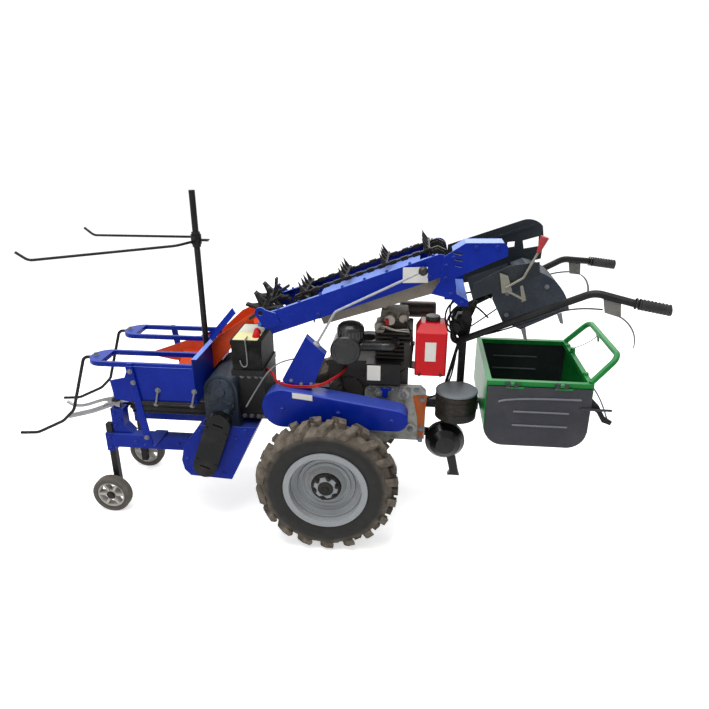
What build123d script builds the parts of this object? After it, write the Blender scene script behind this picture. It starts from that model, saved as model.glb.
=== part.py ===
from build123d import *
import math
import os

os.makedirs("parts", exist_ok=True)

# A walk-behind corn reaper for one row. X runs to the rear, Y to the machine's right and Z up.
# The origin is on the ground, under the middle of the whole machine. All sizes are in millimetres.
# Stations along the machine are written from the drive axle, forward as a minus.

TIP_REACH = 1435
GRIP_REACH = 1230
AXLE_X = (TIP_REACH - GRIP_REACH) / 2

# Clearances and stock
SHEET = 3
RUN_FIT = 0.05
MOVE_GAP = 6

# Drive wheels
TYRE_R = 300
TYRE_WIDTH = 132
CARCASS_R = 272
BEAD_R = 156
FLANGE_R = 176
RIM_WALL = 5
WHEEL_Y = 334
LUGS = 18
LUG_WIDTH = 30
HUB_R = 52
SHAFT_R = 20

# Gauge wheels and their legs
GAUGE_X = AXLE_X - 1034
GAUGE_R = 88.5
GAUGE_WIDTH = 44
GAUGE_Y = 197
GAUGE_RIM_R = 64
GAUGE_PIN_R = 9
LEG = 28
LEG_X = AXLE_X - 1024
LEG_Y = 145
LEG_TOP = 430
SPOKES = 6

# Head frame, one beam each side of the row
CHOPPER_PLATE = 4
BEAM_Y = 165
BEAM_WIDTH = 50
BEAM_Z = 318
BEAM_HEIGHT = 64
BEAM_REAR = AXLE_X - 640 - CHOPPER_PLATE
SOCKET_WALL = 5
UPRIGHT_X = AXLE_X - 1008
UPRIGHT_LENGTH = 58
UPRIGHT_TOP = 505

# Snapping rolls
ROLL_Y = 48
ROLL_Z = 485
ROLL_R = 40
ROLL_CORE_R = 31
ROLL_FRONT = AXLE_X - 945
ROLL_REAR = AXLE_X - 590
ROLL_PIN_R = 12
FLUTES = 6

# Gathering star
STAR_X = AXLE_X - 985
STAR_Y = 125
STAR_R = 75
STAR_ARMS = 6
STAR_PIN_R = 9

# Gathering trough over the rolls
TROUGH_Y = 242
TROUGH_FRONT = AXLE_X - 935
TROUGH_REAR = AXLE_X - 568
TROUGH_LOW = 590
TROUGH_TOP = 758
GATE_TOP = 797
RAIL_Z = 762
RAIL_HEIGHT = 20
RAIL_WIDTH = 14
NOSE_X = AXLE_X - 969
NOSE_Y = 169
NOSE_R = 73
ROD_R = 7
RAMP_NEAR = 5
RAMP_FAR = 165

# Gearbox behind the rolls and the gear housing behind it
BOX_FRONT = AXLE_X - 565
BOX_REAR = AXLE_X - 415
BOX_HALF = 150
BOX_LOW = 440
BOX_TOP = 690
HOUSING_REAR = AXLE_X - 300
HOUSING_HALF = 110
HOUSING_LOW = 470
HOUSING_TOP = 690

# Straw chopper under the gearbox
CHOPPER_X = AXLE_X - 540
CHOPPER_Z = 318
CHOPPER_HALF = 250
CHOPPER_R = 74
CHOPPER_PIN_R = 12
DRIVE_X = AXLE_X - 465
DRIVE_Z = 520
COVER_R = 52
COVER_DEPTH = 40

# Mast with its two guide rods
MAST_R = 13
MAST_Y = -8
MAST_LOW = 640
MAST_TOP = 1450
GUIDE_Z = 1250
GUIDE_R = 5.5

# Battery
BATTERY_X = AXLE_X - 400
BATTERY_LENGTH = 125
BATTERY_Y = -230
BATTERY_WIDTH = 215
BATTERY_LOW = 735
BATTERY_HEIGHT = 150
TRAY = 3

# Elevator, sloping up to the rear
SLOPE = 20.8
FOOT_X = AXLE_X - 289
FOOT_Z = 972
ELEVATOR_HALF = 165
ELEVATOR_LENGTH = 790
ELEVATOR_DEPTH = 89
LIP = 22
CHAIN_FOOT = 165
CHAIN_HEAD = 745
CHAIN_DROP = 28
CHAIN_R = 40
CHAIN_Y = 78
CHAIN_WIDTH = 14
FLIGHT_HEIGHT = 50
FLIGHTS_PER_RUN = 4
IMPELLER_R = 74
IMPELLER_ALONG = 8
IMPELLER_RISE = 11
FINGERS = 7

# Main frame under the engine, transmission and engine
RAIL_OUT = 100
RAIL_IN = 60
FRAME_LOW = 500
FRAME_TOP = 560
CASE_FRONT = AXLE_X + 139
CASE_REAR = AXLE_X + 400
CASE_HALF = 95
CASE_LOW = 400
CASE_COVER = 30
TUBE_R = 34
TUBE_END = 252
SHAFT_IN = 190
ENGINE_FRONT = AXLE_X - 20
ENGINE_REAR = AXLE_X + 320
ENGINE_NEAR = -88
ENGINE_FAR = 110
ENGINE_DECK = 760
BARREL_X = AXLE_X + 255
BARREL_TOP = 935
FINS = 8
CLEANER_X = AXLE_X + 62
CLEANER_Z = 836
CLEANER_R = 63
CLEANER_NEAR = -182
CLEANER_DEPTH = 130
TANK_X = AXLE_X + 346
TANK_LENGTH = 128
TANK_NEAR = -180
TANK_DEPTH = 118
TANK_LOW = 742
TANK_SHOULDER = 925
TANK_TOP = 958

# Belt guard and lever console on the left side
GUARD_FAR = -170
GUARD_DEPTH = 85
GUARD_FRONT_X = AXLE_X - 194
GUARD_FRONT_Z = 598
GUARD_FRONT_R = 88
GUARD_REAR_X = AXLE_X + 278
GUARD_REAR_Z = 563
GUARD_REAR_R = 50

# Handle column, handlebars and basket
COLUMN_HALF = 18
COLUMN_TOP = 960
BAR_R = 14
GRIP_R = 19
GRIP_START = 1112
BEND_X = AXLE_X + 985
BEND_Y = 270
BEND_Z = 1138
BASKET_FRONT = AXLE_X + 633
BASKET_REAR = AXLE_X + 1044
BASKET_HALF = 251
BASKET_TOP = 763
BASKET_LOW = 482
BASKET_CORNER = 80
RIM_TUBE = 20
DOOR_GAP = 5
HINGE_R = 5
HOOP_R = 12

# Rear cans
CAN_R = 87
CAN_X = AXLE_X + 528
CAN_Y = -110
CAN_LOW = 535
CAN_HEIGHT = 112
BOWL_X = AXLE_X + 491
BOWL_Z = 402
BOWL_R = 86


def at_axle(x, z):
    """A point of a side view, its station written from the drive axle."""
    return (AXLE_X + x, z)


def side_plane(y):
    """A side view's plane, seen from the machine's left, at the given Y."""
    return Plane(origin=(0, y, 0), x_dir=(1, 0, 0), z_dir=(0, -1, 0))


def folded(points, gauge):
    """The outline of a sheet of the given gauge, folded along the points, its thickness to their left."""
    outer = []
    for index, (x, z) in enumerate(points):
        normals = []
        for first, last in ((index - 1, index), (index, index + 1)):
            if 0 <= first and last < len(points):
                run = Vector(points[last][0] - points[first][0], points[last][1] - points[first][1])
                normals.append(Vector(-run.Y, run.X).normalized())
        mitre = sum(normals[1:], normals[0])
        step = mitre * (gauge / mitre.dot(normals[0]))
        outer.append((x + step.X, z + step.Y))
    return list(points) + outer[::-1]


def finish(piece, name):
    """Name a finished piece and write its file."""
    piece.label = name
    export_step(piece, f"parts/{name}.step")


def finish_pair(piece, name):
    """Write a left-hand piece, and its mirror image for the right."""
    finish(piece, f"{name}_left")
    finish(mirror(piece, about=Plane.XZ, mode=Mode.PRIVATE), f"{name}_right")


def wheel_section(centre):
    """The half section's plane of a left-hand wheel: X outward from the machine, Y up from its axis."""
    return Plane(origin=centre, x_dir=(0, -1, 0), z_dir=(-1, 0, 0))


def flat_ring(centre, section, count):
    """A ring about a wheel's axis, made of flat wedges with the given half section."""
    spread = math.tan(math.pi / count)
    tall = 2 * TYRE_R
    with BuildPart() as wedge:
        with BuildSketch(wheel_section(centre)):
            Polygon(*section, align=None)
        extrude(amount=TYRE_R * spread, both=True)
        with BuildSketch(side_plane(0)):
            Polygon((centre.X, centre.Z), (centre.X + tall * spread, centre.Z + tall),
                    (centre.X - tall * spread, centre.Z + tall), align=None)
        extrude(amount=2 * WHEEL_Y, mode=Mode.INTERSECT)
    axis = Axis(centre, (0, -1, 0))
    return [wedge.part.rotate(axis, index * 360 / count) for index in range(count)]


# Drive tyres: agricultural, with angled bars that reach past the crown from either shoulder
wheel_centre = Vector(AXLE_X, -WHEEL_Y, TYRE_R)
wheel_axis = Axis(wheel_centre, (0, -1, 0))
half = TYRE_WIDTH / 2
bead = half - 12
LUG_TOP = TYRE_R - 2
LUG_LEAD = 38
carcass_section = [
    (-bead, BEAD_R), (bead, BEAD_R), (bead, FLANGE_R + 2), (half - 2, 215), (half - 8, CARCASS_R - 17),
    (half - 36, CARCASS_R), (36 - half, CARCASS_R), (8 - half, CARCASS_R - 17), (2 - half, 215),
    (-bead, FLANGE_R + 2),
]
lugs = []
for shoulder in (-1, 1):
    with BuildPart() as lug:
        with BuildSketch(Plane(origin=wheel_centre + Vector(0, 0, LUG_TOP), x_dir=(0, 1, 0), z_dir=(0, 0, 1))):
            with Locations((0, -LUG_LEAD / 2)):
                Polygon(
                    (shoulder * -8, LUG_WIDTH / 2), (shoulder * -8, -LUG_WIDTH / 2),
                    (shoulder * 26, 4 - LUG_WIDTH / 2), (shoulder * half, LUG_LEAD - LUG_WIDTH / 2),
                    (shoulder * half, LUG_LEAD + LUG_WIDTH / 2), (shoulder * 18, 4 + LUG_WIDTH / 2), align=None,
                )
        extrude(amount=CARCASS_R - 16 - LUG_TOP)
        with BuildSketch(wheel_section(wheel_centre)):
            Polygon(
                (-half, CARCASS_R - 20), (-half, LUG_TOP - 30), (8 - half, LUG_TOP - 12), (34 - half, LUG_TOP),
                (half - 34, LUG_TOP), (half - 8, LUG_TOP - 12), (half, LUG_TOP - 30), (half, CARCASS_R - 20),
                align=None,
            )
        extrude(amount=TYRE_R / 2, both=True, mode=Mode.INTERSECT)
    offset_turn = (shoulder > 0) * 180 / LUGS
    lugs += [lug.part.rotate(wheel_axis, index * 360 / LUGS + offset_turn) for index in range(LUGS)]
with BuildPart() as tyre:
    add(flat_ring(wheel_centre, carcass_section, 2 * LUGS))
    add(lugs)
finish_pair(tyre.part, "drive_tyre")

# Rim: a rolled barrel with flanges, a dished disc, a hub and the half shaft that turns with it
HUB_OUT = 42
DISC_OUT = 20
with BuildPart() as rim:
    with BuildSketch(wheel_section(wheel_centre)):
        barrel = bead + RIM_WALL
        Polygon((-barrel, BEAD_R - RIM_WALL), (barrel, BEAD_R - RIM_WALL), (barrel, BEAD_R), (-barrel, BEAD_R),
                align=None)
        for edge in (-1, 1):
            Polygon((edge * bead, BEAD_R - 2), (edge * barrel, BEAD_R - 2), (edge * barrel, FLANGE_R),
                    (edge * bead, FLANGE_R), align=None)
        Polygon(*folded([(18, BEAD_R - RIM_WALL), (2, 132), (2, 84), (DISC_OUT, 66), (DISC_OUT, SHAFT_R - 2)],
                        -RIM_WALL), align=None)
        Polygon(
            (SHAFT_IN - WHEEL_Y, 0), (HUB_OUT, 0), (HUB_OUT, 28), (HUB_OUT - 8, HUB_R), (DISC_OUT, HUB_R),
            (DISC_OUT, SHAFT_R), (SHAFT_IN - WHEEL_Y, SHAFT_R), align=None,
        )
    revolve(axis=wheel_axis)
finish_pair(rim.part, "drive_rim")

# Gauge wheels: solid rubber tyres on spoked rims, each on a pin that stands out of its leg
gauge_centre = Vector(GAUGE_X, -GAUGE_Y, GAUGE_R)
gauge_axis = Axis(gauge_centre, (0, -1, 0))
gauge_half = GAUGE_WIDTH / 2
gauge_section = [
    (-gauge_half, GAUGE_RIM_R), (gauge_half, GAUGE_RIM_R), (gauge_half, GAUGE_R - 6), (gauge_half - 6, GAUGE_R),
    (6 - gauge_half, GAUGE_R), (-gauge_half, GAUGE_R - 6),
]
with BuildPart() as gauge_tyre:
    add(flat_ring(gauge_centre, gauge_section, 32))
finish_pair(gauge_tyre.part, "gauge_tyre")

with BuildPart() as gauge_rim:
    with BuildSketch(wheel_section(gauge_centre)):
        Polygon((5 - gauge_half, GAUGE_RIM_R - 7), (gauge_half - 5, GAUGE_RIM_R - 7),
                (gauge_half - 5, GAUGE_RIM_R), (5 - gauge_half, GAUGE_RIM_R), align=None)
        Polygon((2 - gauge_half, GAUGE_PIN_R + RUN_FIT), (gauge_half - 2, GAUGE_PIN_R + RUN_FIT),
                (gauge_half - 2, 22), (2 - gauge_half, 22), align=None)
    revolve(axis=gauge_axis)
    with BuildSketch(side_plane(-GAUGE_Y)):
        with Locations((GAUGE_X, GAUGE_R)):
            with PolarLocations((GAUGE_RIM_R + 16) / 2, SPOKES):
                Rectangle(GAUGE_RIM_R - 19, 11)
    extrude(amount=gauge_half - 6, both=True)
finish_pair(gauge_rim.part, "gauge_rim")

# Gauge legs: square tube in the beam's socket, with the wheel's pin and its end washer
with BuildPart() as gauge_leg:
    with BuildSketch(Plane.XY.offset(GAUGE_R - 24)):
        with Locations((LEG_X, -LEG_Y)):
            Rectangle(LEG, LEG)
    extrude(amount=LEG_TOP - GAUGE_R + 24)
    with BuildSketch(side_plane(-LEG_Y)):
        with Locations((GAUGE_X, GAUGE_R)):
            Circle(GAUGE_PIN_R)
    extrude(amount=GAUGE_Y + gauge_half - LEG_Y + 1)
    with BuildSketch(side_plane(-GAUGE_Y - gauge_half + 1)):
        with Locations((GAUGE_X, GAUGE_R)):
            Circle(GAUGE_PIN_R + 5)
    extrude(amount=4)
finish_pair(gauge_leg.part, "gauge_leg")

# Head frame: box beam, leg socket, and the upright that carries the roll's front bearing
socket_half = LEG / 2 + SOCKET_WALL
beam_front = LEG_X + socket_half
with BuildPart() as head_frame:
    with BuildSketch(Plane.XY.offset(BEAM_Z)):
        with Locations(((beam_front + BEAM_REAR) / 2, BEAM_WIDTH / 2 - BEAM_Y)):
            Rectangle(BEAM_REAR - beam_front, BEAM_WIDTH)
    extrude(amount=BEAM_HEIGHT)
    with BuildSketch(Plane.XY.offset(BEAM_Z - 22)):
        with Locations((LEG_X, -LEG_Y)):
            Rectangle(2 * socket_half, 2 * socket_half)
            Rectangle(LEG, LEG, mode=Mode.SUBTRACT)
    extrude(amount=BEAM_HEIGHT + 26)
    with BuildSketch(side_plane(25 - STAR_Y)):
        Polygon(
            (UPRIGHT_X, BEAM_Z + BEAM_HEIGHT), (UPRIGHT_X + UPRIGHT_LENGTH + 34, BEAM_Z + BEAM_HEIGHT),
            (UPRIGHT_X + UPRIGHT_LENGTH, BEAM_Z + BEAM_HEIGHT + 40), (UPRIGHT_X + UPRIGHT_LENGTH, UPRIGHT_TOP),
            (UPRIGHT_X, UPRIGHT_TOP), align=None,
        )
    extrude(amount=50)
    with BuildSketch(Plane.YZ.offset(UPRIGHT_X)):
        with Locations((-ROLL_Y, ROLL_Z)):
            Circle(ROLL_PIN_R + 14)
        with Locations((-(ROLL_Y + STAR_Y) / 2 + 8, ROLL_Z)):
            Rectangle(STAR_Y - ROLL_Y - 16, 2 * (ROLL_PIN_R + 6))
    extrude(amount=30)
    with BuildSketch(Plane.YZ.offset(UPRIGHT_X)):
        with Locations((-ROLL_Y, ROLL_Z)):
            Circle(ROLL_PIN_R + RUN_FIT)
    extrude(amount=30, mode=Mode.SUBTRACT)
STAR_BOTTOM = ROLL_Z + ROLL_R + 8
STAR_PLATE = 6
STAR_TOP = STAR_BOTTOM + STAR_PLATE
with BuildPart() as star_stub:
    with BuildSketch(Plane.XY.offset(UPRIGHT_TOP)):
        with Locations((STAR_X, -STAR_Y)):
            Circle(STAR_PIN_R + 7)
    extrude(amount=12)
    with BuildSketch(Plane.XY.offset(UPRIGHT_TOP)):
        with Locations((STAR_X, -STAR_Y)):
            Circle(STAR_PIN_R)
    extrude(amount=STAR_TOP + 8 - UPRIGHT_TOP)
finish(head_frame.part + star_stub.part, "head_frame_left")
finish(mirror(head_frame.part, about=Plane.XZ, mode=Mode.PRIVATE), "head_frame_right")

# Gathering star: a flat plate with pointed arms that turns on its post
with BuildPart() as star_wheel:
    with BuildSketch(Plane.XY.offset(STAR_BOTTOM)):
        with Locations((STAR_X, -STAR_Y)):
            Circle(30)
            with PolarLocations(0, STAR_ARMS):
                Polygon((0, -15), (STAR_R - 20, -8), (STAR_R, 8), (STAR_R - 26, 10), (0, 18), align=None)
            Circle(STAR_PIN_R + RUN_FIT, mode=Mode.SUBTRACT)
    extrude(amount=STAR_PLATE)
    with BuildSketch(Plane.XY.offset(UPRIGHT_TOP + 12 + 1)):
        with Locations((STAR_X, -STAR_Y)):
            Circle(STAR_PIN_R + 8)
            Circle(STAR_PIN_R + RUN_FIT, mode=Mode.SUBTRACT)
    extrude(amount=STAR_TOP + 4 - UPRIGHT_TOP - 13)
finish(star_wheel.part, "star_wheel")

# Snapping rolls: fluted bars that turn against each other between the front bearings and the gearbox
with BuildPart() as roll:
    with BuildSketch(Plane.YZ.offset(ROLL_FRONT)):
        with Locations((-ROLL_Y, ROLL_Z)):
            Circle(ROLL_CORE_R)
            with PolarLocations((ROLL_R + ROLL_CORE_R) / 2 - 2, FLUTES):
                Rectangle(ROLL_R - ROLL_CORE_R + 4, 9)
    extrude(amount=ROLL_REAR - ROLL_FRONT)
    with BuildSketch(Plane.YZ.offset(UPRIGHT_X - 4)):
        with Locations((-ROLL_Y, ROLL_Z)):
            Circle(ROLL_PIN_R)
    extrude(amount=BOX_FRONT + 14 - UPRIGHT_X + 4)
finish_pair(roll.part, "snapping_roll")

# Divider rods: bent round bar that lifts fallen stalks, out of the nose and forward along the ground
rod_shapes = (
    # along X from the axle, out from the middle, height, bend radius
    (-1042, 169, RAIL_Z, 0),
    (-1078, 169, RAIL_Z, 30),
    (-1165, 175, 503, 60),
    (-1222, 180, 448, 70),
    (-1352, 184, 384, 90),
    (-TIP_REACH, 184, 378, 0),
)
with BuildPart() as divider_rod:
    with BuildLine():
        points = [(AXLE_X + x, -y, z) for x, y, z, bend in rod_shapes]
        route = FilletPolyline(*points, radius=[bend for x, y, z, bend in rod_shapes[1:-1]])
    with BuildSketch(Plane(origin=route @ 0, z_dir=route % 0)):
        Circle(ROD_R)
    sweep(path=route)
finish_pair(divider_rod.part, "divider_rod")

# Divider rails: flat bar bent round the nose, with the nose plate and the leaning post off the beam
POST_SHAPE = [(-852, RAIL_Z), (-824, RAIL_Z), (-776, BEAM_Z + BEAM_HEIGHT), (-808, BEAM_Z + BEAM_HEIGHT)]
POST_GAUGE = 8
with BuildPart() as divider_rails:
    with BuildSketch(Plane.XY.offset(RAIL_Z - RAIL_HEIGHT / 2)):
        with BuildLine():
            Line((TROUGH_REAR - SHEET, -NOSE_Y - NOSE_R), (NOSE_X, -NOSE_Y - NOSE_R))
            RadiusArc((NOSE_X, -NOSE_Y - NOSE_R), (NOSE_X, -NOSE_Y + NOSE_R), NOSE_R)
            Line((NOSE_X, -NOSE_Y + NOSE_R), (TROUGH_REAR - SHEET, -NOSE_Y + NOSE_R))
            Line((TROUGH_REAR - SHEET, -NOSE_Y + NOSE_R), (TROUGH_REAR - SHEET, -NOSE_Y + NOSE_R - RAIL_WIDTH))
            Line((TROUGH_REAR - SHEET, -NOSE_Y + NOSE_R - RAIL_WIDTH), (NOSE_X, -NOSE_Y + NOSE_R - RAIL_WIDTH))
            Line((NOSE_X, -NOSE_Y + NOSE_R - RAIL_WIDTH), (NOSE_X, -NOSE_Y - NOSE_R + RAIL_WIDTH))
            Line((NOSE_X, -NOSE_Y - NOSE_R + RAIL_WIDTH), (TROUGH_REAR - SHEET, -NOSE_Y - NOSE_R + RAIL_WIDTH))
            Line((TROUGH_REAR - SHEET, -NOSE_Y - NOSE_R + RAIL_WIDTH), (TROUGH_REAR - SHEET, -NOSE_Y - NOSE_R))
        make_face()
    extrude(amount=RAIL_HEIGHT)
    post_y = -TROUGH_Y - SHEET - 4
    with BuildSketch(side_plane(post_y)):
        Polygon(*[at_axle(x, z) for x, z in POST_SHAPE], align=None)
    extrude(amount=POST_GAUGE)
    with BuildSketch(side_plane(-NOSE_Y - NOSE_R)):
        with Locations(at_axle(-838, TROUGH_TOP + 8)):
            Rectangle(22, 12)
    extrude(amount=-post_y - NOSE_Y - NOSE_R)
    with BuildSketch(Plane.XY.offset(BEAM_Z + BEAM_HEIGHT)):
        with Locations((AXLE_X - 792, (post_y - POST_GAUGE - BEAM_Y + BEAM_WIDTH) / 2)):
            Rectangle(56, post_y - POST_GAUGE - (-BEAM_Y + BEAM_WIDTH))
    extrude(amount=8)
finish_pair(divider_rails.part, "divider_rails")

# Trough shell: side walls along the rails and the gate plate that stands on the gearbox's front
with BuildPart() as trough_shell:
    for side in (-1, 1):
        rear_top = TROUGH_TOP if side < 0 else GATE_TOP - 10
        front = (
            [(-935, 690), (-868, 706), (-845, TROUGH_TOP)] if side < 0 else [(-960, 628), (-700, 724)]
        )
        with BuildSketch(side_plane(side * (TROUGH_Y + SHEET / 2))):
            Polygon(
                at_axle(-925, TROUGH_LOW + 15), *[at_axle(x, z) for x, z in front], (TROUGH_REAR, rear_top),
                (TROUGH_REAR, TROUGH_LOW), (TROUGH_FRONT + 90, TROUGH_LOW), align=None,
            )
        extrude(amount=SHEET / 2, both=True)
    with BuildSketch(Plane.YZ.offset(TROUGH_REAR)):
        with BuildLine():
            Polyline(
                (-TROUGH_Y - SHEET, TROUGH_LOW), (-TROUGH_Y - SHEET, GATE_TOP), (RAMP_NEAR, GATE_TOP),
                (RAMP_NEAR, 655), (RAMP_FAR, 655), (RAMP_FAR, GATE_TOP), (TROUGH_Y + SHEET, GATE_TOP),
                (TROUGH_Y + SHEET, TROUGH_LOW), close=True,
            )
        make_face()
    extrude(amount=SHEET)
    with BuildSketch(Plane.XY.offset(GATE_TOP)):
        Polygon(
            (TROUGH_REAR, -TROUGH_Y - SHEET), (TROUGH_REAR + LIP, -TROUGH_Y - SHEET),
            (TROUGH_REAR + LIP, RAMP_NEAR - SHEET), (TROUGH_REAR, RAMP_NEAR - SHEET), align=None,
        )
    extrude(amount=SHEET)
    slope_line = Vector(137, 0, 159).normalized()
    across = Vector(-slope_line.Z * 0.8, 0.6, slope_line.X * 0.8)
    flange_foot = Vector(TROUGH_REAR + 1, RAMP_NEAR - 27, 778) + slope_line * 27
    with BuildSketch(Plane(origin=flange_foot, x_dir=slope_line, z_dir=slope_line.cross(across))):
        Rectangle(178, 32, align=Align.MIN)
    extrude(amount=SHEET)
finish(trough_shell.part, "trough_shell")

# Trough lining: sloping plates down to the rolls, and the ramp up to the elevator on the right half
RAMP_FOOT_Z = 655
ramp_line = [at_axle(-565, RAMP_FOOT_Z), at_axle(-400, 846), at_axle(-262, 884)]
with BuildPart() as trough_lining:
    with BuildSketch(Plane.YZ.offset(TROUGH_FRONT + 140)):
        Polygon(*folded([(-TROUGH_Y, 735), (-100, TROUGH_LOW - 22)], SHEET), align=None)
    extrude(amount=TROUGH_REAR - TROUGH_FRONT - 140)
    with BuildSketch(Plane.YZ.offset(TROUGH_FRONT + 140)):
        Polygon(*folded([(100, TROUGH_LOW - 22), (TROUGH_Y - SHEET, 640), (TROUGH_Y - SHEET, 648)], SHEET),
                align=None)
    extrude(amount=TROUGH_REAR - TROUGH_FRONT - 140)
    with BuildSketch(side_plane(TROUGH_Y - SHEET / 2)):
        Polygon(
            at_axle(-925, TROUGH_LOW + 15), at_axle(-960, 628), at_axle(-700, 724),
            (TROUGH_REAR, RAIL_Z - RAIL_HEIGHT / 2 - SHEET), (TROUGH_REAR, TROUGH_LOW),
            (TROUGH_FRONT + 90, TROUGH_LOW), align=None,
        )
    extrude(amount=SHEET / 2, both=True)
    with BuildSketch(side_plane(RAMP_FAR)):
        Polygon(*folded(ramp_line, SHEET), align=None)
    extrude(amount=RAMP_FAR - RAMP_NEAR)
    for wall_y, top in ((RAMP_NEAR + SHEET, 95), (RAMP_FAR, 120)):
        with BuildSketch(side_plane(wall_y)):
            Polygon(
                ramp_line[0], (ramp_line[0][0], GATE_TOP - 8), at_axle(-460, GATE_TOP + top - 30),
                at_axle(-366, 905 + top / 4), (ramp_line[1][0] + 36, ramp_line[1][1] + 10), ramp_line[1],
                align=None,
            )
        extrude(amount=SHEET)
finish(trough_lining.part, "trough_lining")

# Gearbox: a round-topped casting behind the rolls, with the shaft boss of the chopper drive
box_mid = (BOX_FRONT + BOX_REAR) / 2
box_round = (BOX_REAR - BOX_FRONT) / 2
with BuildPart() as gearbox:
    with BuildSketch(side_plane(0)):
        Polygon((BOX_FRONT, BOX_LOW), (BOX_REAR, BOX_LOW), (BOX_REAR, BOX_TOP - box_round),
                (BOX_FRONT, BOX_TOP - box_round), align=None)
        with Locations((box_mid, BOX_TOP - box_round)):
            Circle(box_round)
    extrude(amount=BOX_HALF, both=True)
    with BuildSketch(Plane.YZ.offset(BOX_FRONT)):
        with Locations((-ROLL_Y, ROLL_Z), (ROLL_Y, ROLL_Z)):
            Circle(ROLL_PIN_R + RUN_FIT)
    extrude(amount=16, mode=Mode.SUBTRACT)
    with BuildSketch(side_plane(-BOX_HALF)):
        with Locations((DRIVE_X, DRIVE_Z)):
            Circle(16)
    extrude(amount=CHOPPER_HALF - BOX_HALF)
finish(gearbox.part, "head_gearbox")

# Gear housing between the gearbox and the main frame, with the battery's stand
with BuildPart() as housing:
    with BuildSketch(side_plane(0)):
        Polygon((BOX_REAR, HOUSING_LOW), (HOUSING_REAR, HOUSING_LOW), (HOUSING_REAR, HOUSING_TOP),
                (BOX_REAR, HOUSING_TOP), align=None)
    extrude(amount=HOUSING_HALF, both=True)
finish(housing.part, "gear_housing")

with BuildPart() as tray:
    with BuildSketch(Plane.XY.offset(BATTERY_LOW - TRAY)):
        with Locations((BATTERY_X + BATTERY_LENGTH / 2, BATTERY_Y + BATTERY_WIDTH / 2)):
            Rectangle(BATTERY_LENGTH + 12, BATTERY_WIDTH + 12)
    extrude(amount=TRAY + 22)
    with BuildSketch(Plane.XY.offset(BATTERY_LOW)):
        with Locations((BATTERY_X + BATTERY_LENGTH / 2, BATTERY_Y + BATTERY_WIDTH / 2)):
            Rectangle(BATTERY_LENGTH, BATTERY_WIDTH)
    extrude(amount=30, mode=Mode.SUBTRACT)
    with BuildSketch(Plane.XY.offset(HOUSING_TOP)):
        with Locations((BATTERY_X + BATTERY_LENGTH / 2, -65)):
            Rectangle(40, 70)
    extrude(amount=BATTERY_LOW - TRAY - HOUSING_TOP)
finish(tray.part, "battery_tray")

with BuildPart() as battery:
    with BuildSketch(Plane.XY.offset(BATTERY_LOW)):
        with Locations((BATTERY_X + BATTERY_LENGTH / 2, BATTERY_Y + BATTERY_WIDTH / 2)):
            Rectangle(BATTERY_LENGTH, BATTERY_WIDTH)
    extrude(amount=BATTERY_HEIGHT - 18)
    with BuildSketch(Plane.XY.offset(BATTERY_LOW + BATTERY_HEIGHT - 18)):
        with Locations((BATTERY_X + BATTERY_LENGTH / 2, BATTERY_Y + BATTERY_WIDTH / 2)):
            Rectangle(BATTERY_LENGTH + 6, BATTERY_WIDTH + 6)
    extrude(amount=18)
finish(battery.part, "battery")

# Straw chopper: side plates round the rotor, a deck under the gearbox, and the belt cover on the left
PLATE_SHAPE = [(-560, 499), (-313, 499), (-437, 236), (-622, 246), (-648, 275), (-656, 321), (-640, 392)]
deck_line = [at_axle(-640, 340), at_axle(-640, 384), at_axle(-590, BOX_LOW - CHOPPER_PLATE),
             at_axle(-345, BOX_LOW - CHOPPER_PLATE), at_axle(-440, 238)]
with BuildPart() as chopper:
    with BuildSketch(side_plane(CHOPPER_HALF)):
        Polygon(*[at_axle(x, z) for x, z in PLATE_SHAPE], align=None)
    extrude(amount=2 * CHOPPER_HALF)
    with BuildSketch(side_plane(CHOPPER_HALF - CHOPPER_PLATE)):
        Polygon(*[at_axle(x, z) for x, z in [(-700, 600), (-200, 600), (-200, 200), (-700, 200)]], align=None)
    extrude(amount=2 * (CHOPPER_HALF - CHOPPER_PLATE), mode=Mode.SUBTRACT)
    with BuildSketch(side_plane(CHOPPER_HALF - CHOPPER_PLATE)):
        Polygon(*folded(deck_line, CHOPPER_PLATE), align=None)
    extrude(amount=2 * (CHOPPER_HALF - CHOPPER_PLATE))
    with BuildSketch(side_plane(CHOPPER_HALF)):
        with Locations((CHOPPER_X, CHOPPER_Z)):
            Circle(CHOPPER_PIN_R + RUN_FIT)
    extrude(amount=2 * CHOPPER_HALF, mode=Mode.SUBTRACT)
finish(chopper.part, "chopper_housing")

KNIFE_ROWS = 4
KNIVES = 7
with BuildPart() as rotor:
    with BuildSketch(side_plane(0)):
        with Locations((CHOPPER_X, CHOPPER_Z)):
            Circle(30)
    extrude(amount=CHOPPER_HALF - CHOPPER_PLATE - MOVE_GAP, both=True)
    with BuildSketch(side_plane(0)):
        with Locations((CHOPPER_X, CHOPPER_Z)):
            Circle(CHOPPER_PIN_R)
    extrude(amount=CHOPPER_HALF - 0.5, both=True)
    knife_pitch = 2 * (CHOPPER_HALF - 30) / KNIVES
    for knife in range(KNIVES):
        with BuildSketch(side_plane(knife_pitch * (knife - (KNIVES - 1) / 2))):
            with Locations((CHOPPER_X, CHOPPER_Z)):
                with PolarLocations((CHOPPER_R + 24) / 2, KNIFE_ROWS, start_angle=knife * 40):
                    Rectangle(CHOPPER_R - 24, 22)
        extrude(amount=4, both=True)
finish(rotor.part, "chopper_rotor")

with BuildPart() as cover:
    with BuildSketch(side_plane(-CHOPPER_HALF)):
        with Locations((DRIVE_X, DRIVE_Z), (CHOPPER_X, CHOPPER_Z)):
            Circle(COVER_R)
        make_hull()
    extrude(amount=COVER_DEPTH)
finish(cover.part, "chopper_belt_cover")

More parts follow.
